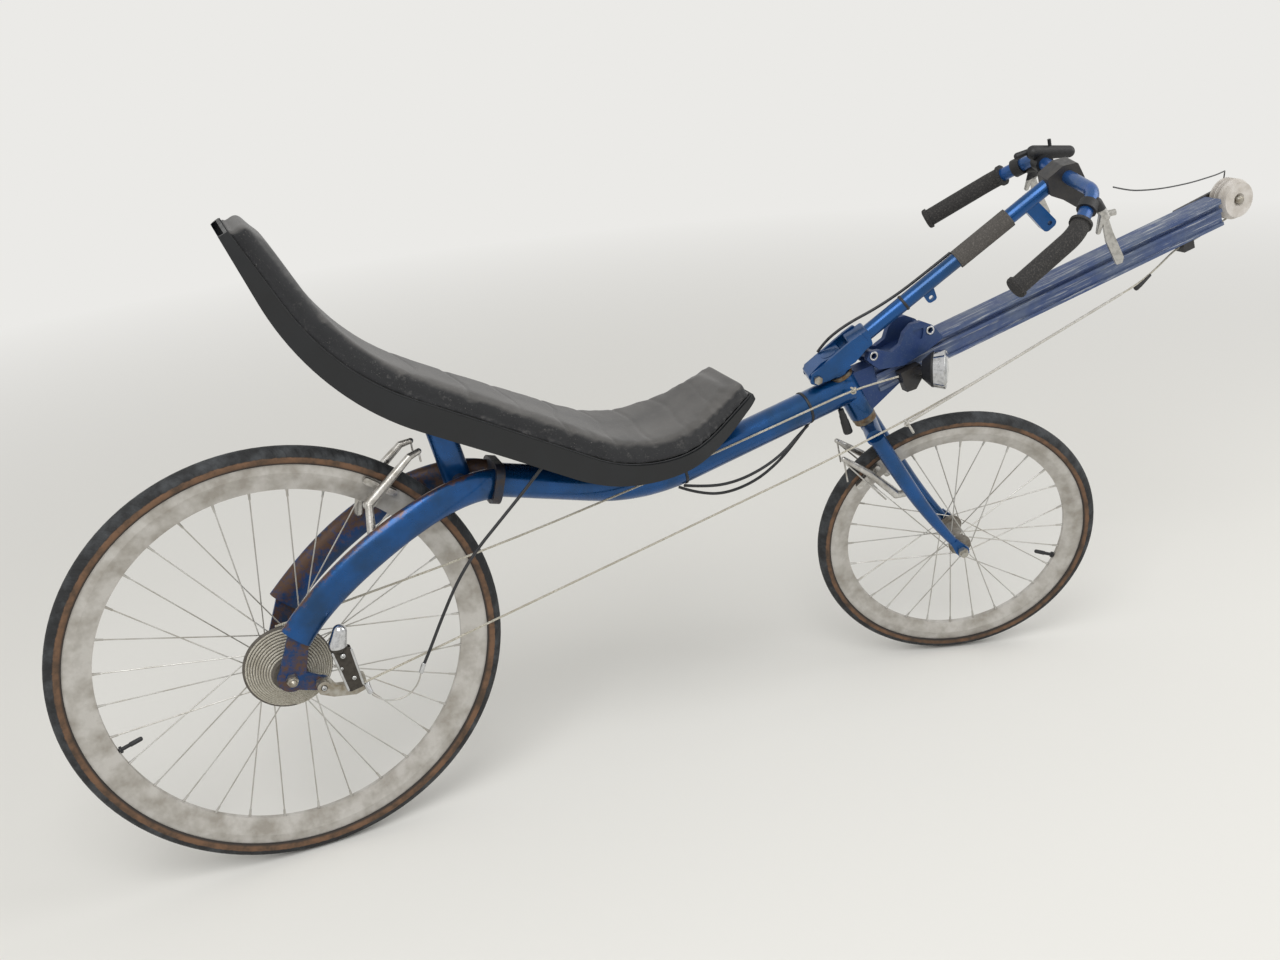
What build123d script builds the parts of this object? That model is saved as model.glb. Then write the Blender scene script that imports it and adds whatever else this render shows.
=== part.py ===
"""Rowing bike: a recumbent with a lever handlebar, a sliding foot carriage and a rope drum on the rear hub.

Millimetres. +X points forward, +Y to the rider's left, +Z up. The origin is where the rider sits, 13 mm into the
pad under the lowest point of its top. The front wheel and the lever stand turned to the right, as parked.
"""
from build123d import *
from math import atan2, cos, degrees, radians, sin, tan
import os

os.makedirs("parts", exist_ok=True)

# Rear wheel
rear_axle_x = -590
rear_axle_z = -234
rear_rim_radius = 316
rear_rim_depth = 41
rear_tyre_rise = 25
rear_tyre_width = 32
rear_hub_width = 135
rear_spoke_count = 32

# Front wheel, placed along and ahead of the steering axis
front_rim_radius = 231
front_rim_depth = 33
front_tyre_rise = 22
front_tyre_width = 30
front_hub_width = 100
front_spoke_count = 28
fork_length = 377
fork_rake = 40.4

# Rims, hubs and spokes of both wheels
rim_width = 22
rim_ridge_width = 8
tyre_seat_depth = 5
spoke_diameter = 2
axle_diameter = 10
running_clearance = 0.08
side_gap = 0.3
nut_radius = 9
spacer_radius = 9
spacer_length = 8
rim_wall = 3
track_height = 14
spoke_gap = 0.2
drum_outer_radius = 67
drum_inner_radius = 24
drum_from = 29.5
drum_width = 28
drum_back = 3
drum_pitch = 4.4
hub_wall = 0.75

# Spine: the line of the main tube and the boom
spine_rise = 13
tube_diameter = 54
head_x = 406
head_z = -2.5
belly_x = 14
belly_radius = 320
tail_rise = 16.2
collar_x = -222
collar_thickness = 14
collar_margin = 5

# Head and steering axis
steer_tilt = 26.4
fork_turn = -22
stem_turn = -14.6
head_tube_diameter = 44
head_tube_wall = 5
head_tube_below = 58
head_tube_above = 26
steerer_diameter = 28.6
cup_height = 7
cup_clearance = 0.3
clevis_height = 42

# Fork
crown_diameter = 30
blade_inset = 3
blade_top_diameter = 28
blade_tip_diameter = 15
fork_tip_thickness = 5

# Rear arms: place, height and width of each cross-section, from the collar to the tip
arm_height = 50
arm_width = 27
arm_table_y = 24
arm_wall = 3
arm_opening = 10
arm_tip_ahead = 18
arm_tip_rise = 63
dropout_thickness = 6
hanger_x = 42
hanger_z = -20
guide_link_width = 9
guide_body_width = 14
guide_plate = 3
guide_knuckle_width = 16
guide_knuckle_radius = 10

# Boom rail and what slides on it
rail_start = 48
rail_end = 800
rail_width = 40
rail_height = 50
slot_depth = 8
slot_bottom = 7
slot_top = 16
web_inset = 4
lip_height = 6
carriage_clearance = 0.5
carriage_width = 62
carriage_bend = 4
bridge_thickness = 6
pocket_depth = 3
foot_boss_radius = 8
pulley_reach = 42
pulley_rise = 7
pulley_radius = 37
pulley_width = 36
pulley_bore = 12

# Lever and handlebar, in the turned frame of the stem
pivot_back = 38.8
pivot_height = 54.4
lever_tube_diameter = 26
lever_foot_ahead = 60.8
lever_foot_height = 68.6
lever_top_ahead = 447.5
lever_top_height = 132.3
bar_diameter = 22.2
bar_ahead = 467.5
bar_height = 134
bar_corner_y = 110
bar_elbow = (401, 165, 115)
bar_end = (279, 192, 104)
elbow_bend = 80
band_diameter = 31
grip_diameter = 30
grip_flange_diameter = 36
grip_flange_width = 5
grip_past_elbow = 24

# Seat line: rear top, back bend, low bend and front edge
seat_points = [(-520, 440), (-422, 231), (21, -15), (182, 73)]
seat_bends = [330, 200]
pad_thickness = 30
shell_thickness = 5
skirt_depths = [44, 72, 68, 42]
pad_inset = 6
seat_gap = 0.3

# Strut and bridge behind the seat
strut_foot = (-283, -8)
strut_head = (-312, 150)
strut_height = 44
strut_width = 25
bridge_diameter = 24

# Lamp
lamp_at = (541, -66, 18)
lamp_yaw = -38

# Clevis, lever plates and their small parts
clevis_width = 37
clevis_boss_height = 5
clevis_bend = 3
pivot_bolt_diameter = 8
plate_gap = 0.4
plate_thickness = 5
plate_bend = 4
sleeve_from = 256
sleeve_to = 361
sleeve_diameter = 33
lug_hole = 8
bar_bend = 40

# Rim brakes and lines
pad_gap = 2
pad_width = 9
pad_length = 56
stub_radius = 6
wire_diameter = 3
rope_diameter = 3.4
rope_gap = 0.2
housing_diameter = 5
cable_diameter = 2.4
lever_cable_diameter = 5

# Foot-plate bolt holes of the carriage, along and above the spine
foot_bolts = [(46.6, 46.2), (160, 44.6)]
foot_bolt_diameter = 8

# Seat plan, from the rear to the nose: forward, half width, bend at the corner
seat_plan = [(-560, 70, 12), (-420, 80, 300), (-230, 90, 300), (-70, 112, 200), (70, 112, 150), (215, 64, 42)]
seat_reach = 2 * max(half for _, half, _ in seat_plan)


def frame_at(turn):
    """The frame of the steering axis: x forward, y left, z up the axis, turned by so many degrees."""
    tilt = radians(steer_tilt)
    swing = radians(turn)
    ahead = (cos(swing) * cos(tilt), sin(swing), cos(swing) * sin(tilt))
    return Plane(origin=(head_x, 0, head_z), x_dir=ahead, z_dir=(-sin(tilt), 0, cos(tilt)))


def shifted(frame, point):
    """The same frame moved to a point given in its own x, y, z."""
    return Plane(origin=frame.from_local_coords(point), x_dir=frame.x_dir, z_dir=frame.z_dir)


def side_of(frame, across=0):
    """The frame's side plane: local x forward, local y up, seen from the right."""
    moved = shifted(frame, (0, across, 0))
    return Plane(origin=moved.origin, x_dir=frame.x_dir, z_dir=-frame.y_dir)


def finish(piece, name):
    """Label one piece and write its file."""
    piece.part.label = name
    export_step(piece.part, f"parts/{name}.step")


straight = Plane.XY
spine = Plane(origin=(head_x, 0, head_z), x_dir=(cos(radians(spine_rise)), 0, sin(radians(spine_rise))),
              z_dir=(-sin(radians(spine_rise)), 0, cos(radians(spine_rise))))
fork_frame = frame_at(fork_turn)
stem_frame = frame_at(stem_turn)
rear_hub = shifted(straight, (rear_axle_x, 0, rear_axle_z))
front_hub = shifted(fork_frame, (fork_rake, 0, -fork_length))


def revolved(plane, outline, name):
    """A piece turned about the plane's left-pointing axis, from (radius, sideways) corners."""
    with BuildPart() as piece:
        with BuildSketch(plane):
            with BuildLine():
                Polyline(outline, close=True)
            make_face()
        revolve(axis=Axis(origin=plane.origin, direction=plane.y_dir), revolution_arc=360)
    finish(piece, name)
    return piece


def section_of(frame, point=(0, 0, 0)):
    """The frame's cross plane at a point: local x left, local y up, facing forward."""
    moved = shifted(frame, point)
    return Plane(origin=moved.origin, x_dir=frame.y_dir, z_dir=frame.x_dir)


def prism(plane, outline, thickness, bend=0):
    """A block of one thickness from a closed outline, its corners rounded by one bend."""
    with BuildPart() as block:
        with BuildSketch(plane):
            with BuildLine():
                if bend:
                    FilletPolyline(*outline, radius=bend, close=True)
                else:
                    Polyline(outline, close=True)
            make_face()
        extrude(amount=thickness)
    return block.part


def rod(start, end, radius):
    """A round bar between two points."""
    first = Vector(start)
    last = Vector(end)
    with BuildPart() as bar:
        with BuildSketch(Plane(origin=first, z_dir=last - first)):
            Circle(radius)
        extrude(amount=(last - first).length)
    return bar.part


def tapered(start, end, start_radius, end_radius):
    """A round arm that narrows from a ball at its start to a ball at its end."""
    first = Vector(start)
    last = Vector(end)
    along = last - first
    with BuildPart() as arm:
        with BuildSketch(Plane(origin=first, z_dir=along)):
            Circle(start_radius)
        with BuildSketch(Plane(origin=last, z_dir=along)):
            Circle(end_radius)
        loft()
        for centre, radius in ((start, start_radius), (end, end_radius)):
            with Locations(centre):
                Sphere(radius)
    return arm.part


def across_rod(frame, point, reach, radius):
    """A round bar across the frame, centred on a point, reaching so far to each side."""
    ahead, height = point
    return rod(frame.from_local_coords((ahead, -reach, height)), frame.from_local_coords((ahead, reach, height)), radius)


def build_tyre(plane, name, radius, width, rim_radius):
    """A round tyre whose flat bead band fills the well of the rim."""
    section = width / 2
    bead = rim_radius - 2 * tyre_seat_depth
    with BuildPart() as tyre:
        with BuildSketch(plane):
            with Locations((radius - section, 0)):
                Circle(section)
            with Locations((rim_radius, 0)):
                Rectangle(2 * width, 2 * width, align=(Align.MAX, Align.CENTER), mode=Mode.SUBTRACT)
            with Locations((bead, 0)):
                Rectangle(rim_radius - bead, rim_width - 2 * rim_wall, align=(Align.MIN, Align.CENTER))
        revolve(axis=Axis(origin=plane.origin, direction=plane.y_dir), revolution_arc=360)
    finish(tyre, name)
    return tyre


def build_rim(plane, name, radius, depth):
    """A deep rim: brake tracks, a well for the tyre and a narrow ridge towards the hub."""
    half = rim_width / 2
    well = radius - 2 * tyre_seat_depth
    outline = [
        (radius, half), (radius - track_height, half), (radius - depth, rim_ridge_width / 2),
        (radius - depth, -rim_ridge_width / 2), (radius - track_height, -half), (radius, -half),
        (radius, -half + rim_wall), (well, -half + rim_wall), (well, half - rim_wall), (radius, half - rim_wall),
    ]
    return revolved(plane, outline, name)


def build_spokes(plane, name, count, ridge_radius, left_flange, right_flange, flange_radius):
    """Straight spokes from both flanges to the rim's ridge, leaning alternately forward and back."""
    lean = 2 * 360 / count * 2
    with BuildPart() as spokes:
        for index in range(count):
            angle = 360 / count * index
            flange = left_flange if index % 2 == 0 else -right_flange
            skew = lean if index % 4 < 2 else -lean
            layer = 1.5 * spoke_diameter / 2 * (1 if skew > 0 else -1)
            hub_angle = radians(angle + skew)
            rim_angle = radians(angle)
            foot = Vector(flange_radius * cos(hub_angle), flange + layer, flange_radius * sin(hub_angle))
            head = Vector(ridge_radius * cos(rim_angle), (1 if flange > 0 else -1) * 1.2, ridge_radius * sin(rim_angle))
            start = plane.from_local_coords(foot)
            end = plane.from_local_coords(head)
            with BuildSketch(Plane(origin=start, z_dir=end - start)):
                Circle(spoke_diameter / 2)
            extrude(amount=(end - start).length)
    finish(spokes, name)
    return spokes


def build_hub(plane, name, bore, half_width, left_flange, right_flange, flange_radius, barrel):
    """A hub shell with two flanges on the spokes, bored for its axle."""
    thick = 3.5
    rim = flange_radius
    outline = [
        (bore, -half_width), (barrel * hub_wall, -half_width), (barrel * hub_wall, -right_flange - thick),
        (rim, -right_flange - thick / 2), (rim, -right_flange + thick / 2), (barrel, -right_flange + thick),
        (barrel, left_flange - thick), (rim, left_flange - thick / 2), (rim, left_flange + thick / 2),
        (barrel * hub_wall, left_flange + thick), (barrel * hub_wall, half_width), (bore, half_width),
    ]
    return revolved(plane, outline, name)


def build_wheel(side, plane, sizes):
    """Tyre, rim and spokes of one wheel, from its row of the wheel table."""
    rim_radius, rim_depth, tyre_rise, tyre_width, count, left_flange, right_flange, flange_rim = sizes
    build_tyre(plane, f"{side}_tyre", rim_radius + tyre_rise, tyre_width, rim_radius)
    build_rim(plane, f"{side}_rim", rim_radius, rim_depth)
    build_spokes(plane, f"{side}_spokes", count, rim_radius - rim_depth - spoke_gap, left_flange, right_flange,
                 flange_rim + spoke_gap + spoke_diameter / 2)


def build_axle(frame, point, name, half_width, nut_from, nut_to, spacer_from, spacer_to):
    """A solid axle with a nut at each end and a spacer inside each dropout."""
    plane = shifted(frame, point)
    with BuildPart() as axle:
        with BuildSketch(side_of(plane, half_width)):
            Circle(axle_diameter / 2)
        extrude(amount=2 * half_width)
        for side in (1, -1):
            with BuildSketch(side_of(plane, side * nut_from)):
                RegularPolygon(nut_radius, 6)
            extrude(amount=-side * (nut_to - nut_from))
            with BuildSketch(side_of(plane, side * spacer_from)):
                Circle(spacer_radius)
            extrude(amount=-side * (spacer_to - spacer_from))
    finish(axle, name)
    return axle


# Wheels: rim radius, rim depth, tyre rise, tyre width, spokes, left flange, right flange, flange radius
wheel_table = {
    "rear": (rear_rim_radius, rear_rim_depth, rear_tyre_rise, rear_tyre_width, rear_spoke_count, 32, 22, 31),
    "front": (front_rim_radius, front_rim_depth, front_tyre_rise, front_tyre_width, front_spoke_count, 33, 33, 20),
}
build_wheel("rear", rear_hub, wheel_table["rear"])
build_wheel("front", front_hub, wheel_table["front"])
hub_bore = axle_diameter / 2 + running_clearance
rear_hub_half = rear_hub_width / 2 - spacer_length - side_gap
front_hub_half = front_hub_width / 2 - spacer_length - side_gap
build_hub(rear_hub, "rear_hub", hub_bore, rear_hub_half, 32, 22, 31, 17)
build_hub(front_hub, "front_hub", hub_bore, front_hub_half, 33, 33, 20, 13)

# Rope drum on the right of the rear hub: a cone with one spiral groove from its small end to its large end
drum_bore = 17 * hub_wall
drum_end = drum_from + drum_width
drum_rise = drum_outer_radius - drum_inner_radius
groove_margin = drum_width / 20
groove_start = drum_inner_radius + drum_rise * groove_margin / drum_width
with BuildPart() as rear_drum:
    with BuildSketch(rear_hub):
        with BuildLine():
            Polyline((drum_bore, -drum_end), (drum_inner_radius, -drum_end), (drum_outer_radius, -drum_from),
                     (drum_outer_radius, -drum_from + drum_back), (drum_bore, -drum_from + drum_back), close=True)
        make_face()
    revolve(axis=Axis(origin=rear_hub.origin, direction=rear_hub.y_dir), revolution_arc=360)
    with BuildLine():
        groove = Helix(pitch=drum_pitch, height=drum_width - 2 * groove_margin, radius=groove_start,
                       center=(rear_axle_x, -drum_end + groove_margin, rear_axle_z), direction=(0, 1, 0),
                       cone_angle=degrees(atan2(drum_rise, drum_width)))
    with BuildSketch(Plane(origin=groove @ 0, z_dir=groove % 0)):
        Circle(rope_diameter / 2 + rope_gap)
    sweep(path=groove, is_frenet=True, mode=Mode.SUBTRACT)
finish(rear_drum, "rear_drum")

build_axle(straight, (rear_axle_x, 0, rear_axle_z), "rear_axle", rear_hub_width / 2 + dropout_thickness + 16,
           rear_hub_width / 2 + dropout_thickness, rear_hub_width / 2 + dropout_thickness + 10,
           rear_hub_width / 2 - spacer_length, rear_hub_width / 2)
build_axle(fork_frame, (fork_rake, 0, -fork_length), "front_axle", front_hub_width / 2 + fork_tip_thickness + 14,
           front_hub_width / 2 + fork_tip_thickness, front_hub_width / 2 + fork_tip_thickness + 9,
           front_hub_width / 2 - spacer_length, front_hub_width / 2)

# Head tube, its cups, and the fork that turns in them
head_bore = head_tube_diameter / 2 - head_tube_wall
with BuildPart() as head_tube:
    with BuildSketch(shifted(fork_frame, (0, 0, -head_tube_below))):
        Circle(head_tube_diameter / 2)
        Circle(head_bore, mode=Mode.SUBTRACT)
    extrude(amount=head_tube_below + head_tube_above)
finish(head_tube, "head_tube")

with BuildPart() as headset_cups:
    for height in (-head_tube_below - cup_height, head_tube_above):
        with BuildSketch(shifted(fork_frame, (0, 0, height))):
            Circle(head_tube_diameter / 2 - 1)
            Circle(steerer_diameter / 2 + running_clearance, mode=Mode.SUBTRACT)
        extrude(amount=cup_height)
finish(headset_cups, "headset_cups")

race_top = -head_tube_below - cup_height - cup_clearance
crown_top = race_top - cup_height
crown_drop = crown_diameter / 2 - crown_top
steerer_top = head_tube_above + cup_height + clevis_height + 1
with BuildPart() as crown_race:
    with BuildSketch(shifted(fork_frame, (0, 0, crown_top))):
        Circle(head_tube_diameter / 2 - 2)
        Circle(steerer_diameter / 2, mode=Mode.SUBTRACT)
    extrude(amount=cup_height)
finish(crown_race, "crown_race")

# Blade stations: share of the rake ahead of the axis, share of the way down from the crown, diameter
blade_spread = front_hub_width / 2 - blade_inset
blade_run = fork_length - crown_drop
blade_table = [(0.1, 0, blade_top_diameter), (0.3, 0.444, 26), (0.62, 0.786, 19), (0.866, 0.948, blade_tip_diameter)]
with BuildPart() as fork:
    with BuildSketch(shifted(fork_frame, (0, 0, -crown_drop))):
        Circle(steerer_diameter / 2)
    extrude(amount=crown_drop + steerer_top)
    with BuildSketch(side_of(shifted(fork_frame, (2, 0, -crown_drop)), blade_spread)):
        Circle(crown_diameter / 2)
    extrude(amount=2 * blade_spread)
    for side in (1, -1):
        for ahead, drop, diameter in blade_table:
            station = (fork_rake * ahead, side * blade_spread, -crown_drop - blade_run * drop)
            with BuildSketch(shifted(fork_frame, station)):
                Circle(diameter / 2)
        loft()
        with BuildSketch(side_of(shifted(fork_frame, (0, side * (front_hub_width / 2 + fork_tip_thickness), 0)))):
            with BuildLine():
                Polyline((fork_rake - 12.4, -fork_length + 25), (fork_rake + 1.6, -fork_length + 25),
                         (fork_rake + 12, -fork_length), (fork_rake + 9, -fork_length - 10),
                         (fork_rake - 9, -fork_length - 10), (fork_rake - 12, -fork_length), close=True)
            make_face()
            with Locations((fork_rake, -fork_length)):
                Circle(axle_diameter / 2, mode=Mode.SUBTRACT)
        extrude(amount=side * fork_tip_thickness)
finish(fork, "fork")

# Main tube, from the head along the spine, round the belly and up to the collar
collar_z = head_z + (belly_x - head_x) * tan(radians(spine_rise)) + (belly_x - collar_x) * tan(radians(tail_rise))
belly_z = head_z + (belly_x - head_x) * tan(radians(spine_rise))
with BuildPart() as main_tube:
    with BuildLine(Plane.XZ) as spine_line:
        FilletPolyline((head_x, head_z), (belly_x, belly_z), (collar_x, collar_z), radius=belly_radius)
    with BuildSketch(Plane(origin=spine_line.line @ 0, z_dir=spine_line.line % 0)):
        Circle(tube_diameter / 2)
    sweep(path=spine_line.line)
    with BuildSketch(shifted(fork_frame, (0, 0, -100))):
        Circle(head_tube_diameter / 2)
    extrude(amount=200, mode=Mode.SUBTRACT)
    with BuildSketch(side_of(spine, 100)):
        Rectangle(200, 400, align=(Align.MIN, Align.CENTER))
    extrude(amount=200, mode=Mode.SUBTRACT)
finish(main_tube, "main_tube")

# Collar where the two arms meet the main tube
tail = radians(tail_rise)
collar_plane = Plane(origin=(collar_x, 0, collar_z), x_dir=(0, 1, 0), z_dir=(-cos(tail), 0, sin(tail)))
with BuildPart() as arm_collar:
    with BuildSketch(collar_plane):
        RectangleRounded(2 * (arm_table_y + arm_width / 2 + collar_margin), tube_diameter + 2 * collar_margin, 20)
    extrude(amount=collar_thickness)
finish(arm_collar, "arm_collar")

# Arm stations between the collar and the tip: share forward, outward and down, heading in degrees, narrowing
back_x = collar_x - collar_thickness * cos(tail)
back_z = collar_z + collar_thickness * sin(tail)
tip_x = rear_axle_x + arm_tip_ahead
tip_y = rear_hub_width / 2 + dropout_thickness / 2 + side_gap
tip_z = rear_axle_z + arm_tip_rise
arm_table = [(0, 0, 0, 180 - tail_rise, 0), (0.192, 0.47, -0.023, 178, 0), (0.459, 0.85, 0.143, 202, 0),
             (0.733, 0.957, 0.482, 217, 0), (1, 1, 1, 226, 3)]


def arm_station(side, forward, outward, down, heading):
    """The cross plane of one rear arm at a station of the arm table."""
    origin = (back_x + (tip_x - back_x) * forward, side * (arm_table_y + (tip_y - arm_table_y) * outward),
              back_z + (tip_z - back_z) * down)
    return Plane(origin=origin, x_dir=(0, 1, 0), z_dir=(cos(radians(heading)), 0, sin(radians(heading))))


arms = {}
for name, side in (("left", 1), ("right", -1)):
    with BuildPart() as arm:
        for forward, outward, down, heading, narrowing in arm_table:
            with BuildSketch(arm_station(side, forward, outward, down, heading)):
                Ellipse((arm_width - narrowing) / 2, arm_height / 2)
        loft()
        with BuildSketch(arm_station(side, *arm_table[-1][:4])):
            Ellipse((arm_width - narrowing) / 2 - arm_wall, arm_height / 2 - arm_wall)
        extrude(amount=-arm_opening, mode=Mode.SUBTRACT)
    finish(arm, f"{name}_rear_arm")
    arms[name] = arm

# Dropout plates, let into the arm tips, the right one with a hanger
for name, side in (("left", 1), ("right", -1)):
    inner = side * (rear_hub_width / 2)
    with BuildPart() as dropout:
        with BuildSketch(side_of(straight, inner)):
            with BuildLine():
                FilletPolyline((tip_x - 4, tip_z + 23), (tip_x + 20, tip_z), (rear_axle_x + 21, rear_axle_z),
                               (rear_axle_x - 21, rear_axle_z), radius=4, close=True)
            make_face()
            with Locations((rear_axle_x, rear_axle_z)):
                Circle(21)
            if side < 0:
                with BuildLine():
                    Polyline((rear_axle_x, rear_axle_z + 18), (rear_axle_x + hanger_x, rear_axle_z + hanger_z + 12),
                             (rear_axle_x + hanger_x, rear_axle_z + hanger_z - 12),
                             (rear_axle_x, rear_axle_z - 18), close=True)
                make_face()
                with Locations((rear_axle_x + hanger_x, rear_axle_z + hanger_z)):
                    Circle(12)
            with Locations((rear_axle_x, rear_axle_z)):
                Circle(axle_diameter / 2, mode=Mode.SUBTRACT)
        extrude(amount=-side * dropout_thickness)
        add(arms[name].part, mode=Mode.SUBTRACT)
    finish(dropout, f"{name}_dropout")


def seat_edge(depths):
    """The seat line moved down by a depth at each of its four points."""
    legs = [Vector(b[0] - a[0], b[1] - a[1], 0).normalized() for a, b in zip(seat_points, seat_points[1:])]
    ends = []
    for index, (x, z) in enumerate(seat_points):
        before = legs[max(index - 1, 0)]
        after = legs[min(index, len(legs) - 1)]
        middle = (before + after).normalized()
        reach = depths[index] / middle.dot(before)
        ends.append((x + middle.Y * reach, z - middle.X * reach))
    return ends


def seat_band(top_depths, bottom_depths, inset):
    """A slab between two lines that follow the seat line, cut to the seat's outline drawn in by an inset."""
    top = seat_edge(top_depths)
    bottom = seat_edge(bottom_depths)
    right = [(x, -(half - inset)) for x, half, _ in seat_plan]
    left = [(x, half - inset) for x, half, _ in reversed(seat_plan)]
    bends = [bend for _, _, bend in seat_plan]
    with BuildPart() as band:
        with BuildSketch(side_of(straight, seat_reach)):
            with BuildLine():
                upper = FilletPolyline(top, radius=[r + d for r, d in zip(seat_bends, top_depths[1:3])])
                lower = FilletPolyline(bottom, radius=[r + d for r, d in zip(seat_bends, bottom_depths[1:3])])
                Line(upper @ 0, lower @ 0)
                Line(upper @ 1, lower @ 1)
            make_face()
        extrude(amount=2 * seat_reach)
        with BuildSketch(Plane.XY.offset(-seat_reach)):
            with BuildLine():
                FilletPolyline(*right, *left, radius=bends + bends[::-1], close=True)
            make_face()
        extrude(amount=4 * seat_reach, mode=Mode.INTERSECT)
    return band.part


# Seat pad and the moulded shell under it, open below
plate_depth = pad_thickness + shell_thickness
with BuildPart() as seat_pad:
    add(seat_band([0] * 4, [pad_thickness] * 4, pad_inset))
finish(seat_pad, "seat_pad")

with BuildPart() as seat_shell:
    add(seat_band([pad_thickness] * 4, skirt_depths, 0))
    add(seat_band([plate_depth] * 4, [seat_reach] * 4, shell_thickness), mode=Mode.SUBTRACT)
finish(seat_shell, "seat_shell")
seat_room = seat_band([-50] * 4, [plate_depth + seat_gap] * 4, -50)

# Saddle block between the main tube and the seat's pan
with BuildPart() as seat_bracket:
    add(prism(side_of(straight, 20), [(-52, -75), (58, -75), (58, -10), (-52, -10)], 40))
    add(main_tube.part, mode=Mode.SUBTRACT)
    add(seat_room, mode=Mode.SUBTRACT)
finish(seat_bracket, "seat_bracket")

# Bridge between the arms and the strut from it up to the seat back
with BuildPart() as bridge_rod:
    add(across_rod(straight, strut_foot, 60, bridge_diameter / 2))
    for arm in arms.values():
        add(arm.part, mode=Mode.SUBTRACT)
with BuildPart() as arm_bridge:
    add(bridge_rod.part.solids().sort_by(SortBy.VOLUME)[-1])
finish(arm_bridge, "arm_bridge")

with BuildPart() as seat_strut:
    foot = Vector(strut_foot[0], 0, strut_foot[1])
    head = Vector(strut_head[0], 0, strut_head[1])
    with BuildSketch(Plane(origin=foot, x_dir=(0, 1, 0), z_dir=head - foot)):
        SlotOverall(strut_height, strut_width, rotation=90)
    extrude(amount=(head - foot).length)
    add(arm_bridge.part, mode=Mode.SUBTRACT)
    add(seat_room, mode=Mode.SUBTRACT)
    for arm in arms.values():
        add(arm.part, mode=Mode.SUBTRACT)
finish(seat_strut, "seat_strut")

# Boom rail: a bar with a running slot along each side
half = rail_width / 2
edge = rail_height / 2
side_profile = [
    (half, edge), (half, slot_top), (half - slot_depth, slot_top), (half - slot_depth, slot_bottom),
    (half, slot_bottom), (half, slot_bottom - lip_height), (half - web_inset, slot_bottom - lip_height),
    (half - web_inset, lip_height - edge), (half, lip_height - edge), (half, -edge),
]
rail_profile = side_profile + [(-across, up) for across, up in reversed(side_profile)]
with BuildPart() as boom_rail:
    add(prism(section_of(spine, (rail_start, 0, 0)), rail_profile, rail_end - rail_start))
finish(boom_rail, "boom_rail")

# Bracket between the head tube and the rail, with a gusset under it
with BuildPart() as boom_root:
    add(prism(side_of(spine, 17), [(6, -27), (12, -52), (22, -52), (95, -edge), (rail_start, -edge),
                                   (rail_start, edge), (6, 27)], 34))
    with BuildSketch(shifted(fork_frame, (0, 0, -100))):
        Circle(head_tube_diameter / 2)
    extrude(amount=200, mode=Mode.SUBTRACT)
finish(boom_root, "boom_root")

# Tip plate on the left of the rail, with the pin of the front pulley
pulley_at = rail_end + pulley_reach
with BuildPart() as boom_tip:
    add(prism(side_of(spine, half + 6), [(rail_end - 70, -18), (pulley_at, -14), (pulley_at + 16, -2),
                                         (pulley_at + 16, 16), (pulley_at, 28), (rail_end - 70, 24)], 6))
    with BuildSketch(side_of(shifted(spine, (pulley_at, half + 4, pulley_rise)))):
        Circle(pulley_bore / 2 - running_clearance)
    extrude(amount=2 * half + 6)
finish(boom_tip, "boom_tip")

# Front pulley: flanges and two rope grooves, with a smooth cap on the right
rope_groove = pulley_radius - 9
flange = pulley_radius
reach = pulley_width / 2
revolved(shifted(spine, (pulley_at, 0, pulley_rise)), [
    (pulley_bore / 2, -reach + 4), (8, -reach + 4), (12, -reach), (pulley_radius - 5, -reach),
    (pulley_radius - 2, -reach + 8), (flange, -reach + 12),
    (flange, -reach + 15), (rope_groove, -reach + 17), (rope_groove, -reach + 21), (flange, -reach + 23),
    (flange, -reach + 25), (rope_groove, -reach + 27), (rope_groove, -reach + 31), (flange, -reach + 33),
    (flange, reach), (pulley_bore / 2, reach)], "front_pulley")

# Line guide block under the rail
with BuildPart() as line_guide:
    add(prism(section_of(spine, (712, 0, 0)), [(-12, -edge), (12, -edge), (12, -45), (-12, -45)], 24))
    with BuildSketch(section_of(spine, (712, 0, -36))):
        Circle(3)
    extrude(amount=24, mode=Mode.SUBTRACT)
finish(line_guide, "line_guide")

# Foot carriage: two cheeks joined over the rail and by a tube round each bolt, with tongues in the rail's slots
cheek = carriage_width / 2
rail_side = half + carriage_clearance
rail_roof = edge + carriage_clearance
cheek_outline = [(42, 56), (60, 51), (80, 38), (100, 43), (112, 60), (129, 69), (149, 66), (166, 52), (182, 21),
                 (149, 12), (96, 6), (50, 19), (32, 45)]
pocket_outline = [(124, 58), (150, 54), (141, 34)]
with BuildPart() as carriage:
    for start in (cheek, -rail_side):
        add(prism(side_of(spine, start), cheek_outline, cheek - rail_side, carriage_bend))
    add(prism(side_of(spine, rail_side), [(52, rail_roof), (170, rail_roof), (162, rail_roof + bridge_thickness),
                                          (58, rail_roof + bridge_thickness)], 2 * rail_side))
    for side in (1, -1):
        inner = side * (half - slot_depth + carriage_clearance)
        tongue = [(inner, slot_bottom + carriage_clearance), (side * (rail_side + 1), slot_bottom + carriage_clearance),
                  (side * (rail_side + 1), slot_top - carriage_clearance), (inner, slot_top - carriage_clearance)]
        add(prism(section_of(spine, (82, 0, 0)), tongue, 66))
        pocket_from = max(side * cheek, side * (cheek - pocket_depth))
        add(prism(side_of(spine, pocket_from), pocket_outline, pocket_depth, 3), mode=Mode.SUBTRACT)
    for bolt in foot_bolts:
        add(across_rod(spine, bolt, cheek, foot_boss_radius))
    for bolt in foot_bolts:
        add(across_rod(spine, bolt, cheek + 1, foot_bolt_diameter / 2), mode=Mode.SUBTRACT)
finish(carriage, "carriage")

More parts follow.
